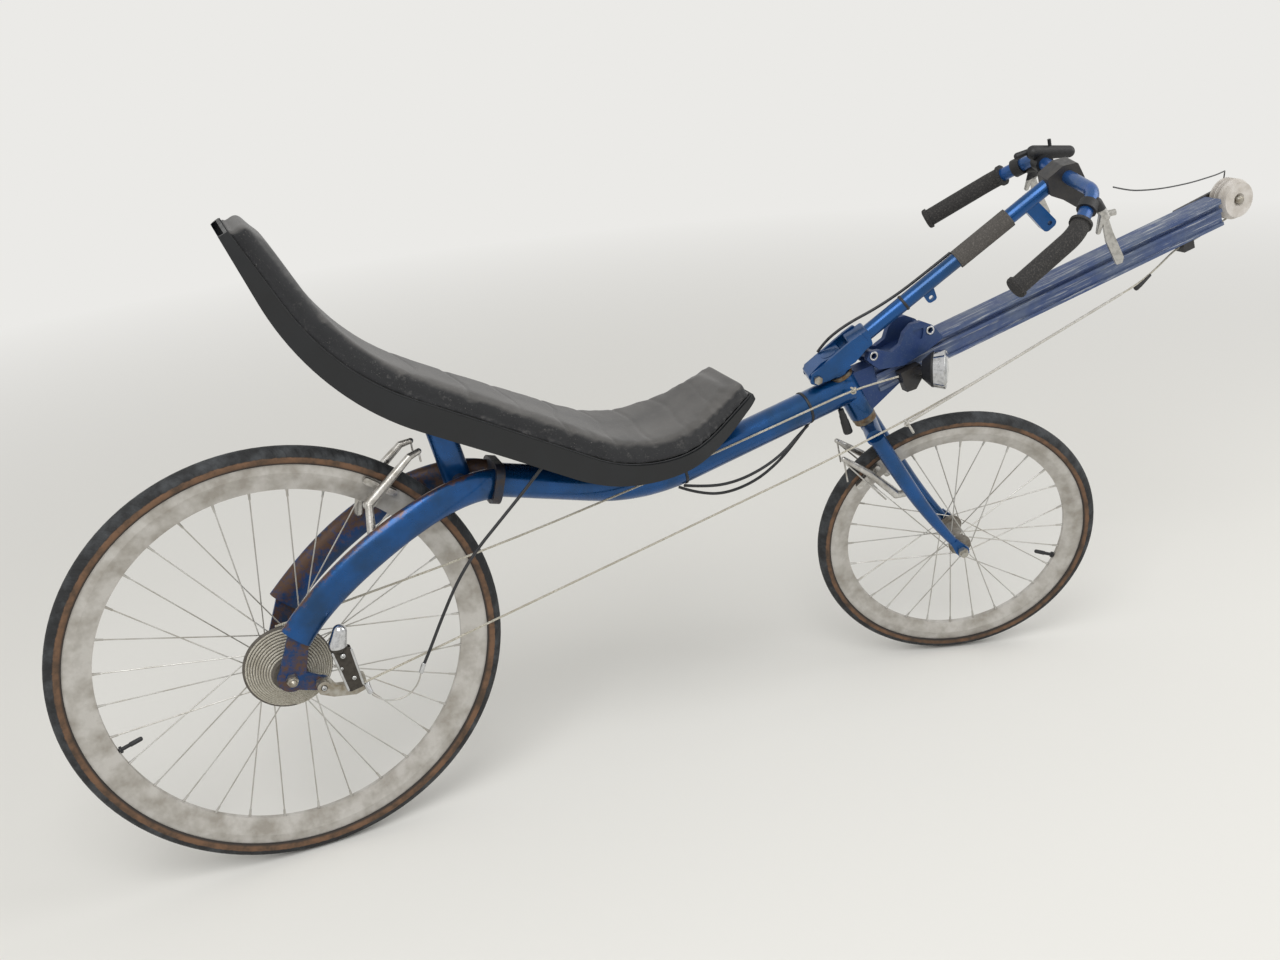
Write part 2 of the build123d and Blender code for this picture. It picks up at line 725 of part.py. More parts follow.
# Lamp on the right of the rail, turned outwards: body, reflector glass and bracket
lamp_ahead = Vector(cos(radians(lamp_yaw)), sin(radians(lamp_yaw)), 0)
lamp_frame = Plane(origin=lamp_at, x_dir=lamp_ahead, z_dir=(0, 0, 1))
lamp_axis = Axis(origin=lamp_frame.origin, direction=lamp_frame.x_dir)
with BuildPart() as lamp_body:
    with BuildSketch(lamp_frame):
        with BuildLine():
            Polyline((-24, 0), (-24, 16), (-8, 30), (14, 34), (14, 31), (9, 31), (4, 12), (4, 0), close=True)
        make_face()
    revolve(axis=lamp_axis, revolution_arc=360)
finish(lamp_body, "lamp_body")
with BuildPart() as lamp_glass:
    with BuildSketch(lamp_frame):
        with BuildLine():
            Polyline((9, 0), (9, 31), (14, 31), (18, 22), (20, 0), close=True)
        make_face()
    revolve(axis=lamp_axis, revolution_arc=360)
finish(lamp_glass, "lamp_glass")
with BuildPart() as lamp_bracket:
    add(prism(side_of(spine, -half), [(84, -2), (124, -2), (128, -22), (106, -42), (88, -40)], 17))
    add(rod(spine.from_local_coords((112, -half - 12, -14)), lamp_frame.from_local_coords((-20, 0, 0)), 7))
    add(lamp_body.part, mode=Mode.SUBTRACT)
finish(lamp_bracket, "lamp_bracket")

# Clevis on the steerer and the bolt on which the lever hinges
clevis_foot = head_tube_above + cup_height + cup_clearance
clevis_floor = clevis_foot + clevis_boss_height
clevis_half = clevis_width / 2
pivot = (-pivot_back, pivot_height)
steerer_bar = rod(stem_frame.from_local_coords((0, 0, 0)), stem_frame.from_local_coords((0, 0, 100)), steerer_diameter / 2)
with BuildPart() as stem_clevis:
    add(prism(side_of(stem_frame, clevis_half), [
        (20, clevis_floor), (20, clevis_foot + clevis_height), (-22, clevis_foot + clevis_height), (-50, 66), (-51, 50),
        (-42, 44.5), (-22, clevis_floor)], clevis_width, clevis_bend))
    add(rod(stem_frame.from_local_coords((0, 0, clevis_foot)), stem_frame.from_local_coords((0, 0, clevis_floor)), 18))
    add(steerer_bar, mode=Mode.SUBTRACT)
    add(across_rod(stem_frame, pivot, 40, pivot_bolt_diameter / 2), mode=Mode.SUBTRACT)
finish(stem_clevis, "stem_clevis")

plate_inner = clevis_half + plate_gap
plate_outer = plate_inner + plate_thickness
with BuildPart() as pivot_bolt:
    add(across_rod(stem_frame, pivot, plate_outer + plate_gap + 5, pivot_bolt_diameter / 2))
    for side in (1, -1):
        with BuildSketch(side_of(shifted(stem_frame, (-pivot_back, side * (plate_outer + plate_gap), pivot_height)))):
            RegularPolygon(7.5, 6)
        extrude(amount=-side * 5)
finish(pivot_bolt, "pivot_bolt")

# Lever: two plates round the clevis joined by a foot block, a tube, a sleeve and two rope lugs
tube_foot = (lever_foot_ahead, 0, lever_foot_height)
tube_head = (lever_top_ahead, 0, lever_top_height)
tube_bar = rod(stem_frame.from_local_coords(tube_foot), stem_frame.from_local_coords(tube_head), lever_tube_diameter / 2)
plate_outline = [(-44, 68), (-53, 54.4), (-43, 44), (29.6, 46), (48, 53), (66, 62), (60, 86), (40, 84)]
foot_outline = [(35, 50), (70, 56), (74, 84), (35, 82)]
with BuildPart() as lever_fork:
    for inner in (plate_outer, -plate_inner):
        add(prism(side_of(stem_frame, inner), plate_outline, plate_thickness, plate_bend))
    add(prism(side_of(stem_frame, plate_inner), foot_outline, 2 * plate_inner, plate_bend))
    add(tube_bar, mode=Mode.SUBTRACT)
    add(across_rod(stem_frame, pivot, 40, pivot_bolt_diameter / 2 + running_clearance), mode=Mode.SUBTRACT)
finish(lever_fork, "lever_fork")

with BuildPart() as lever_tube:
    add(prism(side_of(stem_frame, 3), [(180, 88), (204, 90), (200, 58), (184, 58)], 6, 6))
    add(across_rod(stem_frame, (192, 66), 10, lug_hole / 2), mode=Mode.SUBTRACT)
    add(prism(side_of(stem_frame, 10), [(386, 122), (410, 124), (428, 68), (403, 62)], 20, 8))
    add(across_rod(stem_frame, (415, 75), 20, lug_hole / 2), mode=Mode.SUBTRACT)
    add(tube_bar)
finish(lever_tube, "lever_tube")


def lever_point(ahead):
    """The point of the lever tube's axis at so far ahead."""
    share = (ahead - lever_foot_ahead) / (lever_top_ahead - lever_foot_ahead)
    return (ahead, 0, lever_foot_height + share * (lever_top_height - lever_foot_height))


with BuildPart() as lever_sleeve:
    ends = [stem_frame.from_local_coords(lever_point(ahead)) for ahead in (sleeve_from, sleeve_to)]
    add(rod(ends[0], ends[1], sleeve_diameter / 2))
    add(tube_bar, mode=Mode.SUBTRACT)
finish(lever_sleeve, "lever_sleeve")

def stem_point(ahead, across, up):
    """A point of the turned stem frame as a place in space."""
    return stem_frame.from_local_coords((ahead, across, up))


# Handlebar with an elbow in each leg, its clamp and the grips
bar_corner = (bar_ahead, bar_corner_y, bar_height)
right_half = [stem_point(x, -y, z) for x, y, z in (bar_end, bar_elbow, bar_corner)]
left_half = [stem_point(*corner) for corner in (bar_corner, bar_elbow, bar_end)]
with BuildPart() as handlebar:
    with BuildLine() as bar_line:
        FilletPolyline(*right_half, *left_half, radius=[elbow_bend, bar_bend, bar_bend, elbow_bend])
    with BuildSketch(Plane(origin=bar_line.line @ 0, z_dir=bar_line.line % 0)):
        Circle(bar_diameter / 2)
    sweep(path=bar_line.line)
finish(handlebar, "handlebar")
with BuildPart() as bar_clamp:
    add(prism(side_of(stem_frame, 20), [(430, 122), (446, 104), (462, 78), (474, 80), (492, 104), (490, 148),
                                        (466, 156), (436, 150)], 40, 5))
    add(tube_bar, mode=Mode.SUBTRACT)
    add(handlebar.part, mode=Mode.SUBTRACT)
finish(bar_clamp, "bar_clamp")

for name, side in (("right", -1), ("left", 1)):
    tip, elbow, corner = [stem_point(x, side * y, z) for x, y, z in (bar_end, bar_elbow, bar_corner)]
    with BuildPart() as grip:
        with BuildLine() as grip_line:
            FilletPolyline(tip, elbow, elbow + (corner - elbow).normalized() * grip_past_elbow, radius=elbow_bend)
        with BuildSketch(Plane(origin=grip_line.line @ 0, z_dir=grip_line.line % 0)):
            Circle(grip_diameter / 2)
        sweep(path=grip_line.line)
        for centre, inward in ((grip_line.line @ 0, grip_line.line % 0), (grip_line.line @ 1, -(grip_line.line % 1))):
            add(rod(centre, centre + inward * grip_flange_width, grip_flange_diameter / 2))
        add(handlebar.part, mode=Mode.SUBTRACT)
    finish(grip, f"{name}_grip")


def hand_lever(side):
    """A brake lever on one leg of the bar: its band, the body in front of it and the blade."""
    with BuildPart() as lever:
        add(rod(stem_point(449, side * 125.3, 128.7), stem_point(437, side * 135.2, 125.3), band_diameter / 2))
        add(tapered(stem_point(458, side * 128, 124), stem_point(462, side * 132, 98), 9, 7))
        add(rod(stem_point(463, side * 131, 101), stem_point(478, side * 132, 96), 5))
        add(tapered(stem_point(459, side * 131, 104), stem_point(442, side * 134, 82), 6, 4))
        blade = side_of(stem_frame, max(side * 131, side * 137))
        add(prism(blade, [(455, 104), (464, 102), (462, 72), (463, 22), (458, 14), (448, 16), (447, 60)], 6, 2.5))
        add(handlebar.part, mode=Mode.SUBTRACT)
    return lever.part


# Brake levers on both legs, the left one with its shifter above the bar
with BuildPart() as right_brake_lever:
    add(hand_lever(-1))
finish(right_brake_lever, "right_brake_lever")
with BuildPart() as left_shifter:
    add(hand_lever(1))
    add(rod(stem_point(bar_ahead, 68, bar_height), stem_point(bar_ahead, 92, bar_height), band_diameter / 2))
    add(tapered(stem_point(462, 84, 156), stem_point(516, 84, 124), 12, 10))
    add(tapered(stem_point(462, 88, 160), stem_point(438, 92, 162), 4, 6))
    add(rod(stem_point(488, 84, 140), stem_point(494, 84, 162), 3))
    add(tapered(stem_point(468, 86, 122), stem_point(452, 124, 118), 6, 6))
    add(handlebar.part, mode=Mode.SUBTRACT)
finish(left_shifter, "left_shifter")


def build_brake(frame, side, hub, rim_radius, sizes):
    """One brake arm beside the wheel: a chain of rounded stations, its pad on the rim and its pivot stub.

    Places are given as along the rim, outward from it and across, from the middle of the brake track.
    """
    angle, stations, stub, wires = sizes
    out = Vector(cos(radians(angle)), sin(radians(angle)), 0)
    along = Vector(out.Y, -out.X, 0)
    middle = Vector(hub[0], hub[1], 0) + out * (rim_radius - track_height / 2)

    def place(run, rise, across):
        """A place beside the rim in the frame's own coordinates."""
        spot = middle + along * run + out * rise
        return frame.from_local_coords((spot.X, side * across, spot.Y))

    pad_inner = rim_width / 2 + pad_gap
    foot, knee = stations[:2]
    stud_run = foot[0] + (knee[0] - foot[0]) * foot[1] / (foot[1] - knee[1])
    with BuildPart() as brake:
        for (run, rise, across, radius), (far_run, far_rise, far_across, far_radius) in zip(stations, stations[1:]):
            add(tapered(place(run, rise, across), place(far_run, far_rise, far_across), radius, far_radius))
        for (run, rise, across), (far_run, far_rise, far_across) in wires:
            add(rod(place(run, rise, across), place(far_run, far_rise, far_across), wire_diameter / 2))
        add(rod(place(0, 0, pad_inner + 2), place(stud_run, 0, foot[2]), 4))
        pad = []
        for run, rise in ((-pad_length / 2, -5), (pad_length / 2, -5), (pad_length / 2, 5), (-pad_length / 2, 5)):
            corner = middle + along * run + out * rise
            pad.append((corner.X, corner.Y))
        pad_from = max(side * pad_inner, side * (pad_inner + pad_width))
        add(prism(side_of(frame, pad_from), pad, pad_width, 4))
        add(tapered(place(*stub[0]), place(*stub[1]), stub_radius, stub_radius + 1))
    return brake.part


# Rim brakes: angle on the rim, stations with their radius, pivot stub, and wires of each arm
front_brake_sizes = (112, [(10.5, -52, 38, 8), (12, 11, 35, 6.5), (5, 67.7, 33, 4.5)], [(8, -54, 38), (26, -61, 46)],
                     [((-7, -43, 44), (2, 62, 36)), ((5, 67, 33), (-23.5, 31.7, 35))])
rear_brake_sizes = (52.95, [(-8.7, -28.5, 36, 8.5), (13, 62, 33, 5.5), (23.4, 75, 28, 4.5)],
                    [(-8.7, -28.5, 40), (12, -66, 57)], [((23.4, 75, 28), (34, 62, 29))])
for name, side in (("left", 1), ("right", -1)):
    with BuildPart() as front_brake:
        add(build_brake(fork_frame, side, (fork_rake, -fork_length), front_rim_radius, front_brake_sizes))
        add(fork.part, mode=Mode.SUBTRACT)
    finish(front_brake, f"{name}_front_brake")
    with BuildPart() as rear_brake:
        add(build_brake(straight, side, (rear_axle_x, rear_axle_z), rear_rim_radius, rear_brake_sizes))
        add(arms[name].part, mode=Mode.SUBTRACT)
    finish(rear_brake, f"{name}_rear_brake")

# Rope guide on the right dropout: a knuckle and its arm, and a two-plate body under a dome
hanger_face = -(rear_hub_width / 2 + dropout_thickness)
hanger = (rear_axle_x + hanger_x, rear_axle_z + hanger_z)
guide_y = hanger_face - guide_link_width - guide_body_width / 2
with BuildPart() as guide_link:
    add(prism(side_of(straight, hanger_face), [(-556, -266), (-536, -276), (-503, -282), (-484, -276), (-486, -250),
                                               (-500, -250), (-506, -262), (-530, -258), (-538, -244), (-558, -246)],
              guide_link_width, 4))
    add(across_rod(shifted(straight, (0, hanger_face - guide_knuckle_width / 2, 0)), hanger, guide_knuckle_width / 2,
                   guide_knuckle_radius))
    add(across_rod(shifted(straight, (0, hanger_face - guide_knuckle_width, 0)), hanger, 4, 5), mode=Mode.SUBTRACT)
finish(guide_link, "guide_link")
with BuildPart() as guide_body:
    for face in (hanger_face - guide_link_width, guide_y - guide_body_width / 2 + guide_plate):
        add(prism(side_of(straight, face), [(-528, -196), (-499, -196), (-491, -264), (-514, -268)], guide_plate, 4))
    add(prism(side_of(straight, hanger_face - guide_link_width), [(-523, -190), (-504, -190), (-497, -258), (-510, -262)],
              guide_body_width, 3))
    add(tapered((-517, guide_y, -190), (-510, guide_y, -169), 14, 11))
finish(guide_body, "guide_body")


def corner_bends(points):
    """Bend radii for a cord's route, 0.45 of the shorter run beside each corner."""
    bends = []
    for before, corner, after in zip(points, points[1:], points[2:]):
        first = Vector(corner) - Vector(before)
        last = Vector(after) - Vector(corner)
        turn = radians(first.get_angle(last))
        bends.append(0.45 * min(first.length, last.length) / tan(turn / 2))
    return bends


def build_cord(name, points, diameter):
    """A round cord along straight runs with rounded corners."""
    with BuildPart() as cord:
        with BuildLine() as route:
            FilletPolyline(*points, radius=corner_bends(points))
        with BuildSketch(Plane(origin=route.line @ 0, z_dir=route.line % 0)):
            Circle(diameter / 2)
        sweep(path=route.line)
    finish(cord, name)
    print(name, "bend radii", [round(bend) for bend in corner_bends(points)])


# Taut lines: the drive rope to the drum and the return cord under the boom
rope_top = rear_axle_z + drum_outer_radius + rope_diameter / 2 + 0.4
build_cord("drive_rope", [(478, -46, 13), (391, -45, 7), (126, -42, -50), (-240, -36, -119), (-596, -28, rope_top)],
           rope_diameter)
build_cord("return_cord", [(1235, 1, 165.5), (1138, 0, 129.6), (1100, 0, 120.8), (1022, -10, 78), (486, -72, -60),
                           (-491.2, -90, -262)], rope_diameter)

# Housings that hang free between their ties, and the bare cable of the guide
upper_route = [(322, -8, -51.3), (303, -12, -62), (268, -18, -86), (225, -20, -105), (176, -20, -116),
               (128, -19, -114), (84, -17.8, -101.5)]
lower_route = [(330, 2, -50.7), (309, 0, -70), (268, -4, -104), (218, -6, -130), (158, -6, -139), (108, -5, -124),
               (80, -4.4, -107.9)]
guide_route = [(-404, -96, -266), (-384, -97, -232), (-361, -97, -190), (-328, -96, -136), (-293, -94, -95),
               (-245, -90, -55), (-195, -88, -12), (-158, -92.1, 26)]
cable_route = [(-481.5, -92, -284), (-470, -93, -297), (-448, -94, -304), (-425, -95, -299), (-408, -96, -281),
               (-404, -96, -266.3)]
lever_route = [(254, 11, 112.5), (205, 11.5, 104.5), (150, 12.5, 96.5), (100, 14, 94), (60, 17, 95), (25, 19.5, 91.5),
               (0, 21, 84), (-14, 21.4, 76.4)]
top_route = [(1224.6, 24, 212.6), (1228, 25, 232), (1218, 14, 244), (1192, -12, 250), (1146, -41, 253), (1096, -68, 257),
             (1044, -92, 260), (990, -115, 264.5), (936, -137, 270), (882, -158, 277.5), (830, -181, 287.5), (776, -209, 304)]
build_cord("upper_housing", upper_route, housing_diameter)
build_cord("lower_housing", lower_route, housing_diameter)
build_cord("guide_cable", cable_route, cable_diameter)
build_cord("guide_housing", guide_route, housing_diameter)
build_cord("top_cable", top_route, cable_diameter)
build_cord("lever_housing", [stem_point(*point) for point in lever_route], lever_cable_diameter)
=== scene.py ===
"""Looks of the rowing bike: soft daylight on worn blue enamel, old seat foam, rubber and oxidised aluminium."""
import bpy
from collections import namedtuple
from functools import partial
from math import cos, exp, pi, radians, sin
from mathutils import Matrix, Vector
from mathutils.bvhtree import BVHTree


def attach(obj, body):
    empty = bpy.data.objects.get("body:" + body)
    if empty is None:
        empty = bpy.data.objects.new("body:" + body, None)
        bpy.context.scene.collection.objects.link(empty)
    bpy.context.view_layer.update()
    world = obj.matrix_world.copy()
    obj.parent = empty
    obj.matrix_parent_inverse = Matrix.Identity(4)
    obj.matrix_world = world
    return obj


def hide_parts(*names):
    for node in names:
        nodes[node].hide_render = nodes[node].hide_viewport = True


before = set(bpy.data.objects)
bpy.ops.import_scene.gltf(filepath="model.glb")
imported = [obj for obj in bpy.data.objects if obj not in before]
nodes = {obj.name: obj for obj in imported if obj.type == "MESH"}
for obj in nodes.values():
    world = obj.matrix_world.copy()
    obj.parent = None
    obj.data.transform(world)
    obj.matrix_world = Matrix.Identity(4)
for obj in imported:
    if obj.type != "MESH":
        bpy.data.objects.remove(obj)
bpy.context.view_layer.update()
scene = bpy.context.scene
scene.view_settings.view_transform = "Standard"
bpy.ops.object.select_all(action="DESELECT")

# Places in metres and turns in radians, as in the solids
ground = -0.575
rear_hub = Vector((-0.590, 0, -0.234))
head = Vector((0.406, 0, -0.0025))
front_hub_ahead = 0.0404
front_hub_below = 0.377
steer_tilt = radians(26.4)
fork_turn = radians(-22)
stem_turn = radians(-14.6)
spine_rise = radians(13)
lamp_centre = (0.541, -0.066, 0.018)
lamp_turn = radians(-38)
rope_knot_place = (0.391, -0.0455, 0.0068)
elastic_knot_place = (0.476, -0.0722, -0.0621)

# Sizes in millimetres, as in the solids
rope_radius = 1.7
housing_diameter = 5
cable_diameter = 2.4
groove_small_radius = 26.15
groove_large_radius = 64.85
groove_small_side = -56.1
groove_large_side = -30.9
groove_turns = 10.5
winding_radius = 1.65

# Thickness, width and radii of the strap ties, in millimetres
tie_thickness = 1.6
tie_width = 5
frame_tie_radius = 27.6
lever_tie_radius = 13.6

# Seat: the pad's lengths in metres, its cloth and its smoothing
pad_ease = 0.0005
pad_cell = 0.0055
roll_factor = 0.6
roll_passes = 14
roll_from = 0.003
roll_blend = 0.008
puff_pressure = 4
puff_frames = 20
puff_limit = 0.005
puff_held_within = 0.004
binding_radius_mm = 1.6
binding_step = 0.012
binding_within = 0.0006

# Creases across the seat's top: place along it in metres, depth in millimetres, sway in metres
seat_creases = [(-0.335, 0.9, 0.010), (-0.262, 1.4, -0.006), (-0.190, 0.9, 0.006), (-0.118, 1.3, 0.010),
                (-0.048, 0.8, -0.008), (0.012, 1.4, 0.005), (0.075, 1.0, -0.006), (0.128, 0.8, 0.004)]
crease_width = 0.004
creases_from = -0.42
crease_facing = 0.3

# The photograph's viewpoint: metres, degrees and pixels
camera_place = (-0.650, -1.887, 0.696)
camera_yaw, camera_pitch, camera_roll = 19.40, 21.23, -6.04
focal_pixels = 1311
photo_width = 1280
sensor_width = 36
backdrop_colour = "#ebeae7"


def turned_frame(turn):
    """Places a point given ahead, left and up the steering axis, for a wheel or stem turned by an angle."""
    up = Vector((-sin(steer_tilt), 0, cos(steer_tilt)))
    ahead = Vector((cos(turn) * cos(steer_tilt), sin(turn), cos(turn) * sin(steer_tilt)))
    left = up.cross(ahead)
    place = Matrix((ahead, left, up)).transposed().to_4x4()
    place.translation = head
    return place


straight_place = Matrix.Identity(4)
fork_place = turned_frame(fork_turn)
stem_place = turned_frame(stem_turn)
spine_place = Matrix.Translation(head) @ Matrix.Rotation(-spine_rise, 4, "Y")
lamp_place = Matrix.Translation(lamp_centre) @ Matrix.Rotation(lamp_turn, 4, "Z")

# Wheels, in millimetres: radii of the rim, of the tread's start, of the rim's inner ridge and of the flange holes,
# the flanges' distances to the left and right, and the ribs round the tread
Wheel = namedtuple("Wheel", "place body spokes rim tread ridge flange left right valve_angle ribs")
rear_wheel = Wheel(Matrix.Translation(rear_hub), "rear_wheel", 32, 316, 326.5, 275, 32.2, 32, 22,
                   radians(196.9), 240)
front_wheel = Wheel(fork_place @ Matrix.Translation((front_hub_ahead, 0, -front_hub_below)), "front_wheel",
                    28, 231, 239.5, 198, 21.2, 33, 33, radians(-45), 180)


def linear(hex_colour):
    """An sRGB hex colour as linear red, green, blue and alpha."""
    parts = [int(hex_colour[i:i + 2], 16) / 255 for i in (1, 3, 5)]
    return [c / 12.92 if c <= 0.04045 else ((c + 0.055) / 1.055) ** 2.4 for c in parts] + [1]


def plug(socket, source):
    """Sets a socket to a value, or links it to a socket or to a node's first live output."""
    if isinstance(source, bpy.types.Node):
        source = next(output for output in source.outputs if output.enabled)
    if isinstance(source, bpy.types.NodeSocket):
        socket.id_data.links.new(source, socket)
    else:
        socket.default_value = source


def fill(holder, **inputs):
    """Plugs a node's inputs, given by name with _ for a space."""
    for name, source in inputs.items():
        plug(holder.inputs[name.replace("_", " ")], source)


def node(tree, kind, *sources, **named):
    """Adds a shader node: sources fill its live inputs in order, lower-case names are options, others inputs."""
    made = tree.nodes.new("ShaderNode" + kind)
    for name, value in named.items():
        if name.islower():
            setattr(made, name, value)
    live = [socket for socket in made.inputs if socket.enabled]
    for socket, source in zip(live, sources):
        plug(socket, source)
    fill(made, **{name: source for name, source in named.items() if not name.islower()})
    return made


def begin(name):
    """A new material, with a function that adds its nodes, and its shader."""
    material = bpy.data.materials.new(name)
    material.use_nodes = True
    return material, partial(node, material.node_tree), material.node_tree.nodes["Principled BSDF"]


def worn(name, clean, faded, dirt, patch_mm, roughness, metallic=0.0, coat=0.0, speck_mm=1.6, speck=0.35,
         speck_from=0.62, relief_mm=0.04, rust=None, streaks=None):
    """A hard finish: slow fading between two tones, fine specks or streaks of dirt, and rust that faces one way.

    Rust is given by its direction, colour and amount, and streaks by the frame along which they run.
    """
    material, add, shader = begin(name)
    where = add("TexCoord")
    place = where.outputs["Object"]
    fade = add("MapRange", add("TexNoise", place, 1000 / patch_mm, 3, 0.6), 0.38, 0.66)
    colour = add("Mix", fade, linear(clean), linear(faded), data_type="RGBA")
    fine = place
    if streaks:
        turned = add("Mapping", place, Rotation=streaks.to_3x3().inverted().to_euler())
        fine = add("Mapping", turned, Scale=(0.04, 1, 1))
    dots = add("TexNoise", fine, 1000 / speck_mm, 4, 0.7)
    specks = add("MapRange", dots, speck_from, speck_from + 0.1, 0, speck)
    colour = add("Mix", specks, colour, linear(dirt), data_type="RGBA")
    smears = add("TexNoise", place, 3000 / patch_mm, 5, 0.6)
    rough = add("MapRange", smears, 0.35, 0.7, roughness, min(1, roughness + 0.22))
    if rust:
        direction, rust_colour, amount = rust
        facing = add("VectorMath", where.outputs["Normal"], direction, operation="DOT_PRODUCT")
        blotches_mm = 16
        ragged = add("MapRange", add("TexNoise", place, 1000 / blotches_mm, 8, 0.75), 0.3, 0.7, -0.45, 0.45)
        rusty = add("MapRange", add("Math", facing, ragged, operation="ADD"), 0.6, 0.95, 0, amount)
        colour = add("Mix", rusty, colour, linear(rust_colour), data_type="RGBA")
    grain_mm = 1.1
    grain = add("TexNoise", place, 1000 / grain_mm, 3, 0.6)
    relief = add("Bump", Strength=0.5, Distance=relief_mm / 1000, Height=grain)
    fill(shader, Base_Color=colour, Roughness=rough, Normal=relief, Metallic=metallic, Coat_Weight=coat,
         Coat_Roughness=0.12)
    return material


def two_tone(name, place, axis, edge_mm, first, second):
    """Two finishes on one piece, told apart by how far a point lies along an axis of a turned frame.

    Each finish is its colour, roughness and metallic.
    """
    material, add, shader = begin(name)
    where = add("TexCoord").outputs["Object"]
    direction = (place.to_3x3() @ Vector(axis)).normalized()
    along = add("VectorMath", where, direction, operation="DOT_PRODUCT")
    edge = place.translation.dot(direction) + edge_mm / 1000
    blur = 0.0004
    share = add("MapRange", along, edge - blur, edge + blur)
    grime_mm = 7
    grime = add("MapRange", add("TexNoise", where, 1000 / grime_mm, 6, 0.7), 0.45, 0.72)
    tones = []
    for colour, _, _ in (first, second):
        dull = [part * 0.55 for part in linear(colour)[:3]] + [1]
        tones.append(add("Mix", grime, linear(colour), dull, data_type="RGBA"))
    grain_mm = 1.3
    relief = add("Bump", Strength=0.5, Distance=0.00004, Height=add("TexNoise", where, 1000 / grain_mm, 3, 0.6))
    fill(shader, Base_Color=add("Mix", share, *tones, data_type="RGBA"), Normal=relief,
         Roughness=add("MapRange", share, 0, 1, first[1], second[1]),
         Metallic=add("MapRange", share, 0, 1, first[2], second[2]))
    return material


def tyre_rubber(name, wheel):
    """Vulcanised rubber: tan cloth side walls with brown scuffs, a black tread with fine slanted ribs."""
    material, add, shader = begin(name)
    where = add("TexCoord").outputs["Object"]
    centred = add("VectorMath", where, wheel.place.translation, operation="SUBTRACT")
    local = add("Mapping", centred, Rotation=wheel.place.to_3x3().inverted().to_euler())
    parts = add("SeparateXYZ", local).outputs
    radius = add("VectorMath", add("CombineXYZ", parts["X"], parts["Z"]), operation="LENGTH")
    fibres_mm, wear_mm, scuffs_mm = 8, 22, 30
    jagged = add("MapRange", add("TexNoise", where, 1000 / fibres_mm, 6, 0.6), 0.3, 0.7, -0.0008, 0.0008)
    tread_from = wheel.tread / 1000
    tread = add("MapRange", add("Math", radius, jagged, operation="ADD"), tread_from, tread_from + 0.0015)
    wear = add("MapRange", add("TexNoise", where, 1000 / wear_mm, 6, 0.6), 0.4, 0.65)
    wall = add("Mix", wear, linear("#6f523c"), linear("#453629"), data_type="RGBA")
    scuffs = add("MapRange", add("TexNoise", where, 1000 / scuffs_mm, 7, 0.6), 0.45, 0.75)
    scuffed = add("Mix", scuffs, linear("#1b1c1e"), linear("#44474a"), data_type="RGBA")
    bead_from = wheel.rim / 1000
    bead = add("MapRange", radius, bead_from + 0.001, bead_from + 0.004)
    wall = add("Mix", bead, linear("#2a2522"), wall, data_type="RGBA")
    angle = add("Math", parts["Z"], parts["X"], operation="ARCTAN2")
    turns = add("Math", angle, wheel.ribs / (2 * pi), operation="MULTIPLY")
    side = add("Math", parts["Y"], operation="ABSOLUTE")
    slant_per_metre = 110.0
    slant = add("Math", side, slant_per_metre, turns, operation="MULTIPLY_ADD")
    rib = add("MapRange", add("Math", slant, 1.0, operation="PINGPONG"), 0.3, 0.55)
    height = add("Math", rib, tread, operation="MULTIPLY")
    fill(shader, Base_Color=add("Mix", tread, wall, scuffed, data_type="RGBA"), Roughness=0.8, IOR=1.52,
         Normal=add("Bump", Strength=0.8, Distance=0.0009, Height=height))
    return material


def ribbed_rubber(name, colour, dusty, place, axis, rib_mm, roughness=0.85):
    """Moulded soft rubber with narrow rings across its length and dust in its pores."""
    material, add, shader = begin(name)
    where = add("TexCoord").outputs["Object"]
    direction = (place.to_3x3() @ Vector(axis)).normalized()
    along = add("VectorMath", where, direction, operation="DOT_PRODUCT")
    count = add("Math", along, 1000 / rib_mm, operation="MULTIPLY")
    rings = add("Math", count, 0.5, operation="PINGPONG")
    dust_mm, pores_mm = 2.2, 0.9
    dust = add("MapRange", add("TexNoise", where, 1000 / dust_mm, 6, 0.7), 0.5, 0.75)
    height = add("Math", rings, add("TexNoise", where, 1000 / pores_mm, 3, 0.6), operation="ADD")
    fill(shader, Base_Color=add("Mix", dust, linear(colour), linear(dusty), data_type="RGBA"), IOR=1.52,
         Roughness=add("MapRange", dust, 0, 1, roughness, 1),
         Normal=add("Bump", Strength=0.5, Distance=0.0005, Height=height))
    return material


def braided(name, light, dark):
    """Braided cord: pale strands with painted shade greying the hollows between them, and dirty stretches."""
    material, add, shader = begin(name)
    where = add("TexCoord").outputs["Object"]
    strands_per_metre, stretch_mm = 900.0, 40
    strands = add("TexVoronoi", where, strands_per_metre)
    # Painted shade: the colour greys towards each strand cell's edge, where the bump sinks the hollow
    colour = add("Mix", add("MapRange", strands, 0.25, 0.7), linear(light), linear(dark), data_type="RGBA")
    dirt = add("MapRange", add("TexNoise", where, 1000 / stretch_mm, 4, 0.6), 0.4, 0.7, 0, 0.6)
    fill(shader, Base_Color=add("Mix", dirt, colour, linear(dark), data_type="RGBA"), Roughness=0.9,
         Sheen_Weight=0.25, Normal=add("Bump", Strength=0.5, Distance=-0.0005, Height=strands))
    return material


